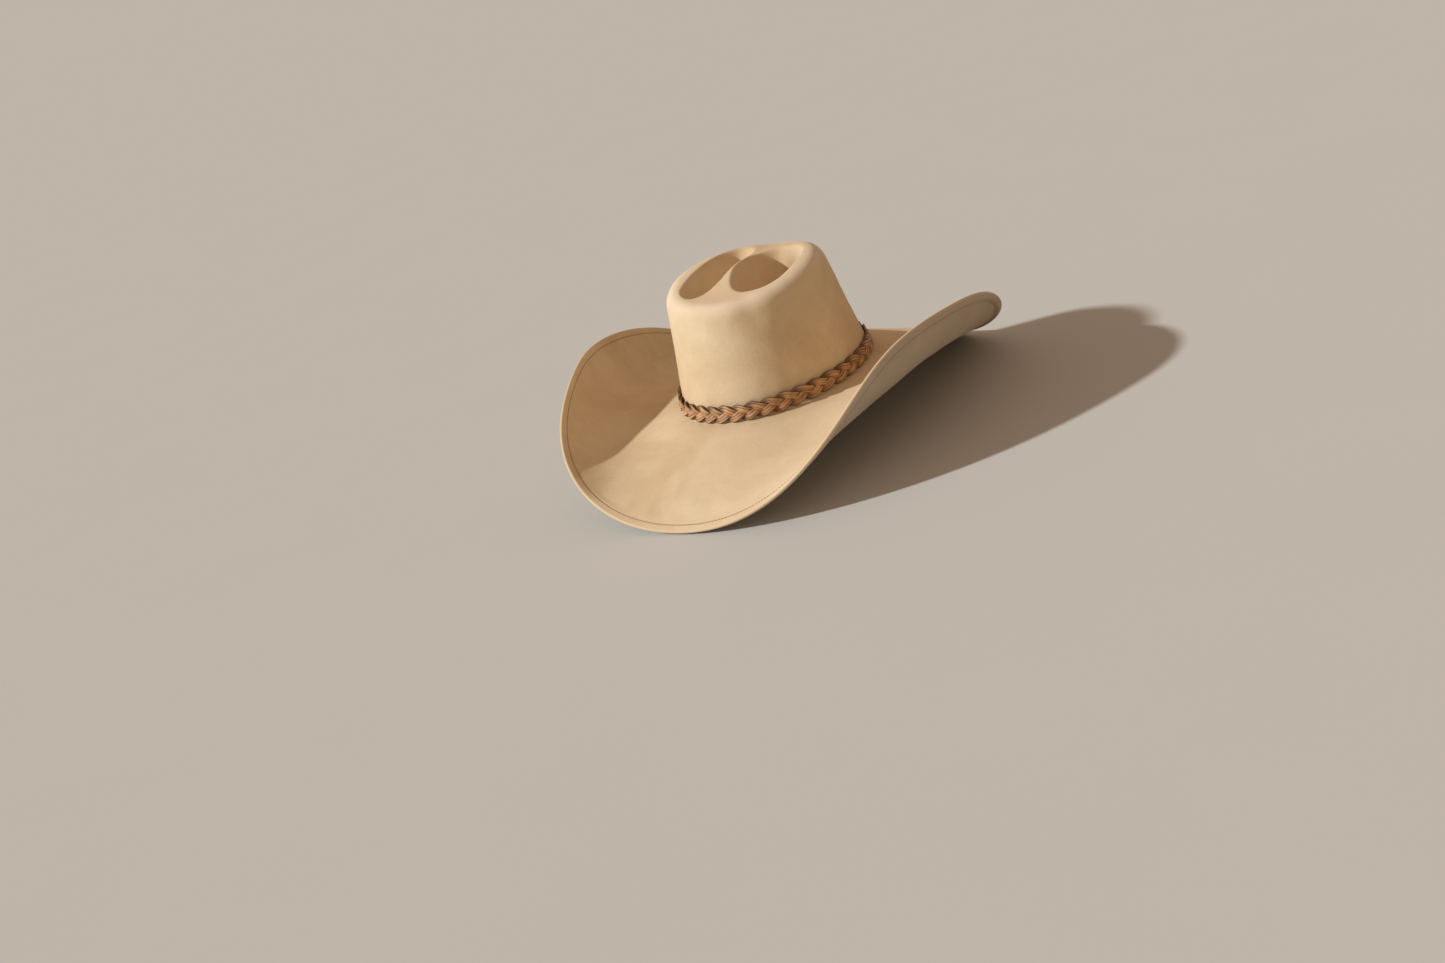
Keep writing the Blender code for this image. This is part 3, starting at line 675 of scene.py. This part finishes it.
def keeper_section():
    """The wrap's closed outline as (out, up): a strap with rounded corners and thin lips."""
    lip = 0.5
    top = KEEPER_HALF_HEIGHT
    inner = KEEPER_OUTER - KEEPER_REACH
    corner_out = KEEPER_OUTER - KEEPER_CORNER
    corner_up = top - KEEPER_CORNER

    def corner(reach, steps, start, end):
        t = turns(steps, start, end, ends=True)
        return np.stack([corner_out + reach * np.cos(t), corner_up + reach * np.sin(t)], -1)

    upper = np.vstack([
        corner(KEEPER_CORNER, 7, 0.0, 0.25 * TURN),
        [(inner + lip, top), (inner + 0.1, top - 0.2), (inner, top - 0.5 * KEEPER_WALL),
         (inner + 0.1, top - KEEPER_WALL + 0.2), (inner + lip, top - KEEPER_WALL)],
        corner(KEEPER_CORNER - KEEPER_WALL, 5, 0.25 * TURN, 0.0)])
    lower = upper[::-1] * [1.0, -1.0]
    back_up = np.linspace(upper[-1, 1], lower[0, 1], 12)[1:-1]
    back = np.stack([np.full_like(back_up, KEEPER_OUTER - KEEPER_WALL), back_up], -1)
    face_up = np.linspace(-corner_up, corner_up, 22)[1:-1]
    face = np.stack([KEEPER_OUTER - 0.25 * (face_up / top) ** 2, face_up], -1)
    return np.vstack([upper, back, lower, face])


def make_keeper():
    """A leather wrap over the braid's ends, with rounded edges and a hand-sewn row."""
    out, up = keeper_section().T
    on_face = out > KEEPER_OUTER - 0.5 * KEEPER_WALL
    rows = []
    for share in np.linspace(-1.0, 1.0, 34):
        thin = 0.5 * abs(share) ** 14
        angle = math.pi + 0.5 * KEEPER_LENGTH / HEAD_HALF_WIDTH * share
        rows.append(beside_wall(angle, out - 0.8 * thin * KEEPER_WALL * on_face,
                                BRAID_HEIGHT + up * (1.0 - 0.03 * thin)))
    girth = 46.0
    piece = grid_mesh("band_keeper_wrap", np.stack(rows), caps=True, lengths=(KEEPER_LENGTH, girth))
    dress(piece, leather["keeper"], "hat_band", "braid_leather", "band_keeper", sharp=60)

    half_height = KEEPER_HALF_HEIGHT - KEEPER_STITCH_INSET[1]
    half_turn = (0.5 * KEEPER_LENGTH - KEEPER_STITCH_INSET[0]) / HEAD_HALF_WIDTH
    corners = np.array([(-half_turn, -half_height), (half_turn, -half_height),
                        (half_turn, half_height), (-half_turn, half_height)])
    share = turns(20, 0.0, 1.0)[:, None]
    line = np.vstack([start + (end - start) * share
                      for start, end in zip(corners, np.roll(corners, -1, axis=0))])
    spots = beside_wall(math.pi + line[:, 0], KEEPER_OUTER + 0.1, BRAID_HEIGHT + line[:, 1])
    outward = unit(np.broadcast_to([0.0, 1.0, 0.15], spots.shape))
    path, out = even_spots((spots, outward), 2.4)
    piece = stitch_row("keeper_stitches", path, out, 1.9, 0.3, radius=0.32)
    dress(piece, thread_material("waxed thread", (0.56, 0.44, 0.29)), "hat_band", "band_thread",
          "keeper_stitch")


# -------- inside of the crown
def sweatband_face(height):
    """How far inside the crown's outer face the sweatband's outer face lies at a height."""
    ins, heights = zip(*SWEATBAND_FACES)
    shifts = (-2.0, -1.0, 0.0, 1.0, 2.0)
    return sum(0.2 * np.interp(height + shift, heights, ins) for shift in shifts)


def strip_rings(angle, faces, thickness, rounding=0.35):
    """Closed sections of a strip whose outer face passes through (inward, height) points."""
    outer = [tuple(face) for face in faces]
    inner = [(inward + thickness, height) for inward, height in outer][::-1]
    foot_in, foot = outer[0]
    top_in, top = outer[-1]
    section = np.array(outer + [(top_in + 0.5 * thickness, top + rounding * thickness)]
                       + inner + [(foot_in + 0.5 * thickness, foot)])
    return beside_wall(angle[:, None], -section[None, :, 0], section[None, :, 1])


def make_sweatband(thread):
    butt_gap = 0.8
    half_gap = 0.5 * butt_gap / HEAD_HALF_WIDTH
    angle = turns(361, math.pi + half_gap, 3.0 * math.pi - half_gap, ends=True)
    heights = np.concatenate([np.linspace(SWEATBAND_FOOT, 13.0, 14), np.linspace(15.0, 53.0, 20),
                              [53.8, 54.4, 55.0, 55.7]])
    points = strip_rings(angle, [(sweatband_face(h), h) for h in heights], SWEATBAND_THICKNESS)
    outward = unit(points * [1.0, 1.0, 0.0])
    height = points[..., 2]
    wave = 0.22 * ripple(points, 46.0, 8)
    wave = np.maximum(wave, -0.15) * smooth_step((height - 14.0) / 40.0) * 0.8
    pressed_line = 0.22 * np.exp(-((height - 52.6) / 0.45) ** 2)
    pressed_line[:, :len(heights) + 1] = 0.0     # only on the face towards the head
    points = points + outward * (wave + pressed_line)[..., None]
    piece = grid_mesh("sweatband_leather", points, caps=True,
                      lengths=(SWEATBAND_LENGTH, 2.0 * SWEATBAND_TOP))
    dress(piece, leather["sweatband"], "hat", "sweat_leather", "sweatband", sharp=50)

    angle = turns(4 * SIDES)
    inward = sweatband_face(REED_ROW_HEIGHT) + SWEATBAND_THICKNESS
    spots = beside_wall(angle, -inward, REED_ROW_HEIGHT)
    path, out = even_spots((spots, unit(spots * [-1.0, -1.0, 0.0])), 2.8)
    piece = stitch_row("sweatband_stitches", path - 0.05 * out, out, 2.2, 0.26)
    dress(piece, thread, "hat", "edge_thread", "sweatband_stitch")

    crossings = 18
    share = np.linspace(0.0, 1.0, 8 * (crossings + 1))
    swing = np.arcsin(np.sin(math.pi * crossings * share + 0.25 * TURN)) / (0.25 * TURN)
    height = ZIGZAG_SPAN[0] + (ZIGZAG_SPAN[1] - ZIGZAG_SPAN[0]) * share
    inward = sweatband_face(height) + SWEATBAND_THICKNESS + THREAD
    spots = beside_wall(math.pi + swing * ZIGZAG_HALF_WIDTH / HEAD_HALF_WIDTH,
                        0.22 * np.abs(swing) ** 6 - inward, height)
    outward = np.broadcast_to([0.0, -1.0, 0.0], spots.shape)
    piece = tube("sweatband_zigzag_seam", spots, THREAD, outward)
    dress(piece, thread, "hat", "edge_thread", "sweatband_back_seam")


def make_reed_and_tape():
    angle = turns(384)
    path = beside_wall(angle, -REED_IN, REED_HEIGHT)
    piece = tube("sweatband_reed_bead", path, REED_RADIUS, unit(path * [1.0, 1.0, 0.0]), sides=12,
                 closed=True)
    dress(piece, plastic_material(), "hat", "reed_plastic", "sweatband_reed")
    heights = np.linspace(TAPE_SPAN[0], TAPE_SPAN[1], 9)
    points = strip_rings(angle, [(TAPE_IN, h) for h in heights], TAPE_THICKNESS, 0.0)
    piece = grid_mesh("reed_tape_weave", points, loop_rows=True, lengths=(580.0, 16.0))
    dress(piece, woven_material("tape", (0.235, 0.165, 0.10), 1700.0, 0.9), "hat", "tape",
          "reed_tape", sharp=60)


def make_bow():
    """A flat tailored bow: a folded ribbon with two loops, pinched by a wrapped knot."""
    back = sweatband_face(BOW_HEIGHT) + SWEATBAND_THICKNESS + 2.0 * GAP + 2.0 * THREAD - 0.1
    ribbon = woven_material("ribbon", (0.125, 0.062, 0.030), 2600.0, 0.55, ribbed=True)
    share = np.linspace(-1.0, 1.0, 65)[:, None]
    reach = np.abs(share)
    half_width = (1.7 + 3.1 * smooth_step(1.9 * reach)) * (1.0 - 0.10 * reach ** 6)
    t = turns(34)[None, :]
    across = squarer(np.cos(t), 0.5)
    face = squarer(np.sin(t), 0.5)
    puff = 0.22 + 0.55 * np.maximum(np.sin(math.pi * reach), 0.0) ** 0.8
    puff = puff * np.sqrt(np.clip(1.0 - reach ** 10, 0.02, 1.0))
    crease = 0.16 * np.cos(3.0 * math.pi * across) * np.exp(-(share / 0.35) ** 2)
    depth = 0.5 + 0.8 * puff * face + crease
    angle = math.pi - BOW_HALF_LENGTH * share / HEAD_HALF_WIDTH
    points = beside_wall(angle, -back - depth, BOW_HEIGHT + half_width * across)
    piece = grid_mesh("bow_loops", points, caps=True, lengths=(27.0, 20.0))
    dress(piece, ribbon, "hat", "ribbon", "sweatband_bow", sharp=70)

    share = np.linspace(-1.0, 1.0, 15)[:, None]
    t = turns(20)[None, :]
    bulge = np.sqrt(np.maximum(1.0 - np.abs(share) ** 5, 0.05))
    half_width = 2.3 + 0.25 * np.cos(math.pi * share)
    x = half_width * squarer(np.cos(t), 0.6)
    depth = back + 1.25 + 0.75 * bulge * np.sin(t) * (1.0 + 0.06 * np.cos(5.0 * t))
    points = beside_wall(math.pi - x / HEAD_HALF_WIDTH, -depth, BOW_HEIGHT + KNOT_HALF_HEIGHT * share)
    piece = grid_mesh("bow_knot_wrap", points, caps=True, lengths=(2.0 * KNOT_HALF_HEIGHT, 12.0))
    dress(piece, ribbon, "hat", "ribbon", "bow_knot", sharp=70)


def tip_points(angle, share):
    """The lining's tip: share runs from 0 at its middle to 1 at its seam."""
    edge = beside_wall(angle, -LINER_IN - LINER_THICKNESS, LINER_TOP)
    x = edge[..., 0] * share
    y = RIDGE_OFFSET[1] + (edge[..., 1] - RIDGE_OFFSET[1]) * share
    z = LINER_TOP + TIP_RISE + TIP_CROWNING * (1.0 - share * share)
    return np.stack(np.broadcast_arrays(x, y, z), -1)


def make_lining():
    satin = satin_material()
    angle = turns(576)
    heights = np.concatenate([np.linspace(LINER_FOOT, 52.0, 13), np.linspace(54.0, LINER_TOP, 13)])
    points = strip_rings(angle, [(LINER_IN, h) for h in heights], LINER_THICKNESS, 0.0)
    gather = smooth_step((points[..., 2] - GATHER_FOOT) / (LINER_TOP - GATHER_FOOT))
    folds = 0.5 * np.sin(61.0 * angle + 1.3 * np.sin(7.0 * angle))
    folds = folds + 0.35 * np.sin(97.0 * angle + 2.0 * np.sin(5.0 * angle))
    depth = 0.9 * gather * (0.8 + folds[:, None])
    inward = unit(points * [-1.0, -1.0, 0.0])
    points = points + inward * np.maximum(depth, 0.0)[..., None]
    side = grid_mesh("satin_side_wall", points, loop_rows=True, lengths=(540.0, 100.0))
    dress(side, satin, "hat", "satin", "liner_side", sharp=60)

    angle = turns(288)[None, :]
    share = np.concatenate([[1.0, 0.985], np.linspace(0.96, 0.04, 30)])[:, None]
    outer = tip_points(angle, share)
    wrinkle = 0.28 * ripple(outer, 33.0, 12) * (1.0 - share ** 6)
    wrinkle += 0.30 * np.sin(64.0 * angle) * smooth_step((share - 0.82) / 0.18)
    outer[..., 2] += np.clip(wrinkle, -0.3, 0.3)
    tip = thin_dome("satin_tip", outer, tip_points(np.zeros(1), np.zeros(1))[0], LINER_THICKNESS)
    dress(tip, satin, "hat", "satin", "liner_tip", sharp=60)

    inward = LINER_IN + LINER_THICKNESS + GAP + PIPING_RADIUS + SPARE
    angle = turns(576)
    path = beside_wall(angle, -inward, LINER_TOP - PIPING_DROP)
    radius = PIPING_CORD + 0.06 * np.sin(150.0 * angle)
    piece = tube("satin_piping", path, radius, unit(path * [1.0, 1.0, 0.0]), sides=12, closed=True)
    dress(piece, satin, "hat", "satin", "liner_piping")

    angle = turns(192)[None, :]
    share = np.concatenate([[1.0], np.linspace(0.995, 0.05, 18)])[:, None]
    middle = LINER_TOP - SHIELD_DROP + SHIELD_CROWNING
    x = SHIELD_HALF[0] * share * np.sin(angle)
    y = RIDGE_OFFSET[1] - SHIELD_HALF[1] * share * np.cos(angle)
    outer = np.stack(np.broadcast_arrays(x, y, middle - SHIELD_FALL * share ** 2), -1)
    centre = np.array([0.0, RIDGE_OFFSET[1], middle])
    piece = thin_dome("clear_tip_shield", outer, centre, SHIELD_THICKNESS)
    dress(piece, clear_material(), "hat", "clear_plastic", "tip_shield", sharp=60)
    return side, tip


def thin_dome(name, outer, crown, thickness):
    """A closed sheet under rings that run from its edge to its middle, crown."""
    down = np.array([0.0, 0.0, thickness])
    rings = np.vstack([outer[::-1] - down, outer])
    return grid_mesh(name, rings, poles=np.array([crown - down, crown]))


# -------- materials
def new_material(name):
    material = bpy.data.materials.new(name)
    material.use_nodes = True
    tree = material.node_tree
    return material, tree, tree.nodes["Principled BSDF"]


def connect(tree, made, inputs):
    """Link or set a node's inputs."""
    for key, value in inputs.items():
        if isinstance(value, bpy.types.NodeSocket):
            tree.links.new(value, made.inputs[key])
        else:
            made.inputs[key].default_value = value


def node(tree, kind, inputs, **settings):
    made = tree.nodes.new("ShaderNode" + kind)
    for key, value in settings.items():
        setattr(made, key, value)
    connect(tree, made, inputs)
    return made


def object_coordinates(tree, stretch=(1.0, 1.0, 1.0)):
    spot = node(tree, "TexCoord", {}).outputs["Object"]
    return node(tree, "Mapping", {"Vector": spot, "Scale": stretch}).outputs["Vector"]


def length_coordinates(tree, stretch=(1.0, 1.0, 1.0)):
    spot = node(tree, "UVMap", {}, uv_map="lengths").outputs["UV"]
    return node(tree, "Mapping", {"Vector": spot, "Scale": stretch}).outputs["Vector"]


def noise(tree, vector, scale, detail=3.0, roughness=0.5, distortion=0.0):
    return node(tree, "TexNoise", {
        "Vector": vector, "Scale": scale, "Detail": detail, "Roughness": roughness,
        "Distortion": distortion}).outputs["Fac"]


def waves(tree, vector, scale, direction, distortion=0.0):
    return node(tree, "TexWave", {"Vector": vector, "Scale": scale, "Distortion": distortion},
                bands_direction=direction).outputs["Fac"]


def ramp(tree, factor, *stops):
    made = node(tree, "ValToRGB", {"Fac": factor})
    marks = made.color_ramp.elements
    while len(marks) < len(stops):
        marks.new(0.5)
    for mark, (position, colour) in zip(marks, stops):
        mark.position = position
        mark.color = (*colour, 1.0)
    return made.outputs["Color"]


def levels(tree, value, low, high, to_low=0.0, to_high=1.0):
    return node(tree, "MapRange", {
        "Value": value, "From Min": low, "From Max": high, "To Min": to_low,
        "To Max": to_high}).outputs["Result"]


def maths(tree, operation, a, b):
    return node(tree, "Math", {0: a, 1: b}, operation=operation).outputs["Value"]


def scaled(tree, value, share):
    return maths(tree, "MULTIPLY", value, share)


def mix(tree, factor, a, b, blend="MIX"):
    a, b = ((*value, 1.0) if isinstance(value, tuple) else value for value in (a, b))
    inputs = {0: factor, 6: a, 7: b}
    return node(tree, "Mix", inputs, data_type="RGBA", blend_type=blend).outputs[2]


def times(colour, share):
    return tuple(share * channel for channel in colour)


def bump(tree, height, strength, distance, normal=None):
    inputs = {"Height": height, "Strength": strength, "Distance": distance}
    if normal is not None:
        inputs["Normal"] = normal
    return node(tree, "Bump", inputs).outputs["Normal"]


def attribute(tree, name):
    return node(tree, "Attribute", {}, attribute_name=name).outputs["Fac"]


# Where the felt's colour changes: the mesh's attribute, the most it mixes in, and the tint. All of them are
# painted light, shade or highlight.
FELT_TINTS = (
    # painted shade in the pits, darker where deeper
    ("pit", 0.20, (0.55, 0.40, 0.24)),
    # painted shade on the brim's underside
    ("painted_underside_shade", 0.50, (0.36, 0.325, 0.28)),
    # painted shade on that lit pit wall
    ("painted_pit_wall_shade", 0.72, (0.33, 0.235, 0.14)),
    # painted highlight along the crown's edge
    ("painted_crest_highlight", 0.42, (0.88, 0.80, 0.66)),
    # painted shade at the crown's foot, by the band
    ("painted_band_foot_shade", 0.16, (0.36, 0.22, 0.11)),
    # painted shade along the stitch groove
    ("painted_stitch_groove_shade", 0.20, (0.30, 0.18, 0.09)),
    # painted highlight along the brim's edge
    ("rim", 0.42, (0.80, 0.66, 0.46)),
)


def felt_material():
    """Brushed fur felt: matt, cream with tan clouds, a fine nap and a little fuzz."""
    material, tree, shader = new_material("fur felt")
    spot = object_coordinates(tree)
    clouds = noise(tree, spot, 13.0, 4.0, 0.55, 0.6)
    patches = noise(tree, spot, 48.0, 5.0, 0.6, 0.8)
    nap = noise(tree, object_coordinates(tree, (1.0, 1.0, 0.45)), 620.0, 5.0, 0.65)
    fibres = noise(tree, object_coordinates(tree, (1.0, 0.6, 1.0)), 2600.0, 3.0, 0.7)
    cream = ramp(tree, levels(tree, clouds, 0.36, 0.66), (0.0, (0.640, 0.505, 0.325)),
                 (0.45, (0.690, 0.560, 0.378)), (1.0, (0.735, 0.612, 0.430)))
    patchy = ramp(tree, levels(tree, patches, 0.34, 0.68), (0.0, (0.93, 0.91, 0.87)),
                  (1.0, (1.03, 1.03, 1.04)))
    colour = mix(tree, 0.6, cream, patchy, "MULTIPLY")
    speckle = ramp(tree, levels(tree, nap, 0.3, 0.7), (0.0, (0.90, 0.885, 0.86)), (1.0, (1.06, 1.05, 1.04)))
    colour = mix(tree, 0.6, colour, speckle, "MULTIPLY")
    # Painted shade and painted highlights, mixed in by the mesh's weights.
    for label, share, tint in FELT_TINTS:
        colour = mix(tree, scaled(tree, attribute(tree, label), share), colour, tint)
    connect(tree, shader, {
        "Base Color": colour,
        "Roughness": levels(tree, nap, 0.3, 0.7, 0.86, 0.98),
        "Normal": bump(tree, fibres, 0.28, 0.00025, bump(tree, nap, 0.30, 0.0006)),
        "Specular IOR Level": 0.22,
        "Sheen Weight": 0.22,
        "Sheen Roughness": 0.55,
        "Sheen Tint": (1.0, 0.90, 0.74, 1.0),
    })
    return material


def thread_material(name, colour):
    material, tree, shader = new_material(name)
    spot = object_coordinates(tree)
    twist = waves(tree, spot, 900.0, "DIAGONAL", 3.0)
    patches = levels(tree, noise(tree, spot, 300.0), 0.35, 0.65)
    tone = mix(tree, patches, times(colour, 0.8), times(colour, 1.15))
    tone = mix(tree, scaled(tree, twist, 0.35), tone, times(colour, 0.45))
    connect(tree, shader, {
        "Base Color": tone,
        "Roughness": levels(tree, twist, 0.0, 1.0, 0.62, 0.8),
        "Normal": bump(tree, twist, 0.5, 0.00012),
    })
    return material


def leather_material(name, light, dark, grain, smoothest, worn_and_shaded=False):
    """Leather with pores and fine creases; the braid's strands also get wear streaks and cracks, and
    painted shade in their grooves, at their edges and where they tuck under a neighbour, so their ridges
    read paler.
    """
    material, tree, shader = new_material(name)
    spot = object_coordinates(tree)
    patches = noise(tree, spot, 90.0, 4.0, 0.6, 0.5)
    mottling = noise(tree, spot, 420.0, 4.0, 0.65)
    pores = node(tree, "TexVoronoi", {"Vector": spot, "Scale": grain},
                 feature="DISTANCE_TO_EDGE").outputs["Distance"]
    pores = levels(tree, pores, 0.0, 0.22)
    colour = mix(tree, levels(tree, patches, 0.33, 0.67), dark, light)
    middle = tuple(0.5 * (a + b) for a, b in zip(light, dark))
    colour = mix(tree, scaled(tree, levels(tree, mottling, 0.42, 0.72), 0.45), colour, middle)
    colour = mix(tree, levels(tree, pores, 0.0, 1.0, 0.20, 0.0), colour, times(dark, 0.35))
    creases = noise(tree, length_coordinates(tree, (60.0, 900.0, 1.0)) if worn_and_shaded else spot,
                    1.0 if worn_and_shaded else 260.0, 3.0, 0.6)
    if worn_and_shaded:
        streaks = scaled(tree, levels(tree, creases, 0.40, 0.66), 0.50)
        cracks = levels(tree, creases, 0.28, 0.44, 0.80, 0.0)
        # Painted shade: darker where a strand tucks under its neighbour, in its grooves and at its edges.
        under = levels(tree, attribute(tree, "outside"), 0.12, 0.82, 0.88, 0.0)
        grooves = levels(tree, attribute(tree, "ridge"), 0.25, 0.92, 0.88, 0.0)
        edges = levels(tree, attribute(tree, "edge"), 0.14, 0.62, 0.0, 0.92)
        colour = mix(tree, streaks, colour, times(light, 1.35))
        for factor, share in ((cracks, 0.28), (under, 0.34), (grooves, 0.16), (edges, 0.20)):
            colour = mix(tree, factor, colour, times(dark, share))
    pored = bump(tree, pores, 0.35, 0.00012)
    connect(tree, shader, {
        "Base Color": colour,
        "Roughness": levels(tree, mottling, 0.3, 0.7, smoothest, smoothest + 0.16),
        "Normal": bump(tree, creases, 0.6 if worn_and_shaded else 0.45, 0.0004 if worn_and_shaded else 0.0003, pored),
        "Specular IOR Level": 0.42,
    })
    return material


def woven_material(name, colour, threads, roughness, ribbed=False):
    """Plain or ribbed weave, by its own lengths: threads is threads in a metre."""
    material, tree, shader = new_material(name + " weave")
    scale = threads / TURN * 0.5
    along = waves(tree, length_coordinates(tree), scale, "X")
    across = waves(tree, length_coordinates(tree), scale * (0.25 if ribbed else 1.0), "Y")
    height = maths(tree, "MAXIMUM", along, scaled(tree, across, 0.7))
    tone = mix(tree, levels(tree, noise(tree, object_coordinates(tree), 500.0), 0.3, 0.7),
               times(colour, 0.8), times(colour, 1.2))
    tone = mix(tree, levels(tree, height, 0.2, 0.9, 0.5, 0.0), tone, times(colour, 0.35))
    connect(tree, shader, {
        "Base Color": tone,
        "Roughness": levels(tree, height, 0.0, 1.0, roughness + 0.1, roughness - 0.1),
        "Normal": bump(tree, height, 0.55, 0.00018),
        "Sheen Weight": 0.15,
    })
    return material


def satin_material():
    """Champagne satin: smooth and glossy, with faint warp lines and soft colour drift."""
    material, tree, shader = new_material("satin")
    spot = object_coordinates(tree)
    warp = noise(tree, object_coordinates(tree, (1.0, 1.0, 0.04)), 3200.0, 2.0, 0.5)
    drift = noise(tree, spot, 35.0, 3.0)
    tone = mix(tree, levels(tree, drift, 0.35, 0.65), (0.56, 0.475, 0.335), (0.66, 0.575, 0.425))
    tone = mix(tree, scaled(tree, levels(tree, warp, 0.3, 0.7), 0.22), tone, (0.74, 0.67, 0.53))
    connect(tree, shader, {
        "Base Color": tone,
        "Roughness": levels(tree, warp, 0.3, 0.7, 0.30, 0.42),
        "Normal": bump(tree, warp, 0.18, 0.00015),
        "Specular IOR Level": 0.5,
        "Anisotropic": 0.45,
        "Sheen Weight": 0.25,
    })
    return material


def plastic_material():
    material, tree, shader = new_material("reed plastic")
    drift = noise(tree, object_coordinates(tree), 180.0, 3.0)
    tone = mix(tree, drift, (0.70, 0.68, 0.62), (0.80, 0.78, 0.73))
    connect(tree, shader, {
        "Base Color": tone, "Roughness": levels(tree, drift, 0.3, 0.7, 0.34, 0.48)})
    return material


def clear_material():
    material, tree, shader = new_material("clear plastic")
    smears = noise(tree, object_coordinates(tree), 55.0, 4.0, 0.6, 1.0)
    connect(tree, shader, {
        "Roughness": levels(tree, smears, 0.4, 0.75, 0.05, 0.20),
        "Base Color": mix(tree, smears, (0.95, 0.96, 0.96), (0.99, 0.99, 0.99)),
        "Normal": bump(tree, smears, 0.10, 0.0004),
        "Transmission Weight": 1.0,
        "IOR": 1.46,
    })
    return material


# -------- stage, light and camera
def make_stage():
    bpy.ops.mesh.primitive_plane_add(size=60.0, location=(0.0, 0.0, -0.0004))
    floor = bpy.context.object
    floor.name = "studio_floor"
    material, tree, shader = new_material("studio floor")
    faint = noise(tree, object_coordinates(tree), 6.0, 3.0)
    tone = mix(tree, faint, times(FLOOR_TONE, 0.985), FLOOR_TONE)
    connect(tree, shader, {"Base Color": tone, "Roughness": 1.0, "Specular IOR Level": 0.0})
    # Seen from below, the floor lets the view through, so that the underside can be looked at.
    from_below = node(tree, "NewGeometry", {}).outputs["Backfacing"]
    clear = node(tree, "BsdfTransparent", {})
    one_sided = node(tree, "MixShader", {0: from_below, 1: shader.outputs[0], 2: clear.outputs[0]})
    connect(tree, tree.nodes["Material Output"], {"Surface": one_sided.outputs[0]})
    floor.data.materials.append(material)

    world = bpy.data.worlds.new("studio")
    bpy.context.scene.world = world
    world.use_nodes = True
    tree = world.node_tree
    sky = tree.nodes["Background"]
    connect(tree, sky, {"Color": (*SKY, 1.0), "Strength": SKY_STRENGTH})
    seen = node(tree, "Background", {"Color": (*BACKDROP, 1.0), "Strength": 1.0})
    camera_ray = node(tree, "LightPath", {}).outputs["Is Camera Ray"]
    both = node(tree, "MixShader", {0: camera_ray, 1: sky.outputs[0], 2: seen.outputs[0]})
    connect(tree, tree.nodes["World Output"], {"Surface": both.outputs[0]})


def make_sun():
    """An even light from far away, so that the floor has one tone."""
    light = bpy.data.lights.new("key", "SUN")
    light.energy = SUN_STRENGTH
    light.angle = math.radians(SUN_SPREAD)
    light.color = SUN_COLOUR
    lamp = link("key", light)
    direction = Vector(SUN_DIRECTION).normalized()
    lamp.location = Vector(origin) + direction
    lamp.rotation_mode = "QUATERNION"
    lamp.rotation_quaternion = direction.to_track_quat("Z", "Y")


def make_camera():
    """The photograph's view: from the wearer's front left, a little above, rolled."""
    data = bpy.data.cameras.new("camera")
    data.sensor_width = 36.0
    data.lens = LENS
    data.shift_x, data.shift_y = LENS_SHIFT
    camera = link("camera", data)
    turned = (Matrix.Rotation(math.radians(VIEW_AZIMUTH), 4, "Z")
              @ Matrix.Rotation(math.radians(90.0 - VIEW_ELEVATION), 4, "X")
              @ Matrix.Rotation(math.radians(-VIEW_ROLL), 4, "Z"))
    turned.translation = Vector(origin) + turned.col[2].to_3d() * VIEW_DISTANCE
    camera.matrix_world = turned
    bpy.context.scene.camera = camera


make_camera()
leather = {
    "braid": leather_material("braided leather", (0.62, 0.352, 0.164), (0.34, 0.172, 0.077),
                              1500.0, 0.46, worn_and_shaded=True),
    "keeper": leather_material("keeper leather", (0.47, 0.245, 0.110), (0.33, 0.160, 0.070),
                               1500.0, 0.42),
    "sweatband": leather_material("sweatband leather", (0.36, 0.185, 0.085), (0.27, 0.125, 0.055),
                                  2100.0, 0.40),
}
make_felt()
edge_thread = make_edge_stitches()
make_braid()
make_keeper()
make_sweatband(edge_thread)
make_reed_and_tape()
make_bow()
side, tip = make_lining()

make_stage()
make_sun()
bpy.context.scene.view_settings.view_transform = "Standard"
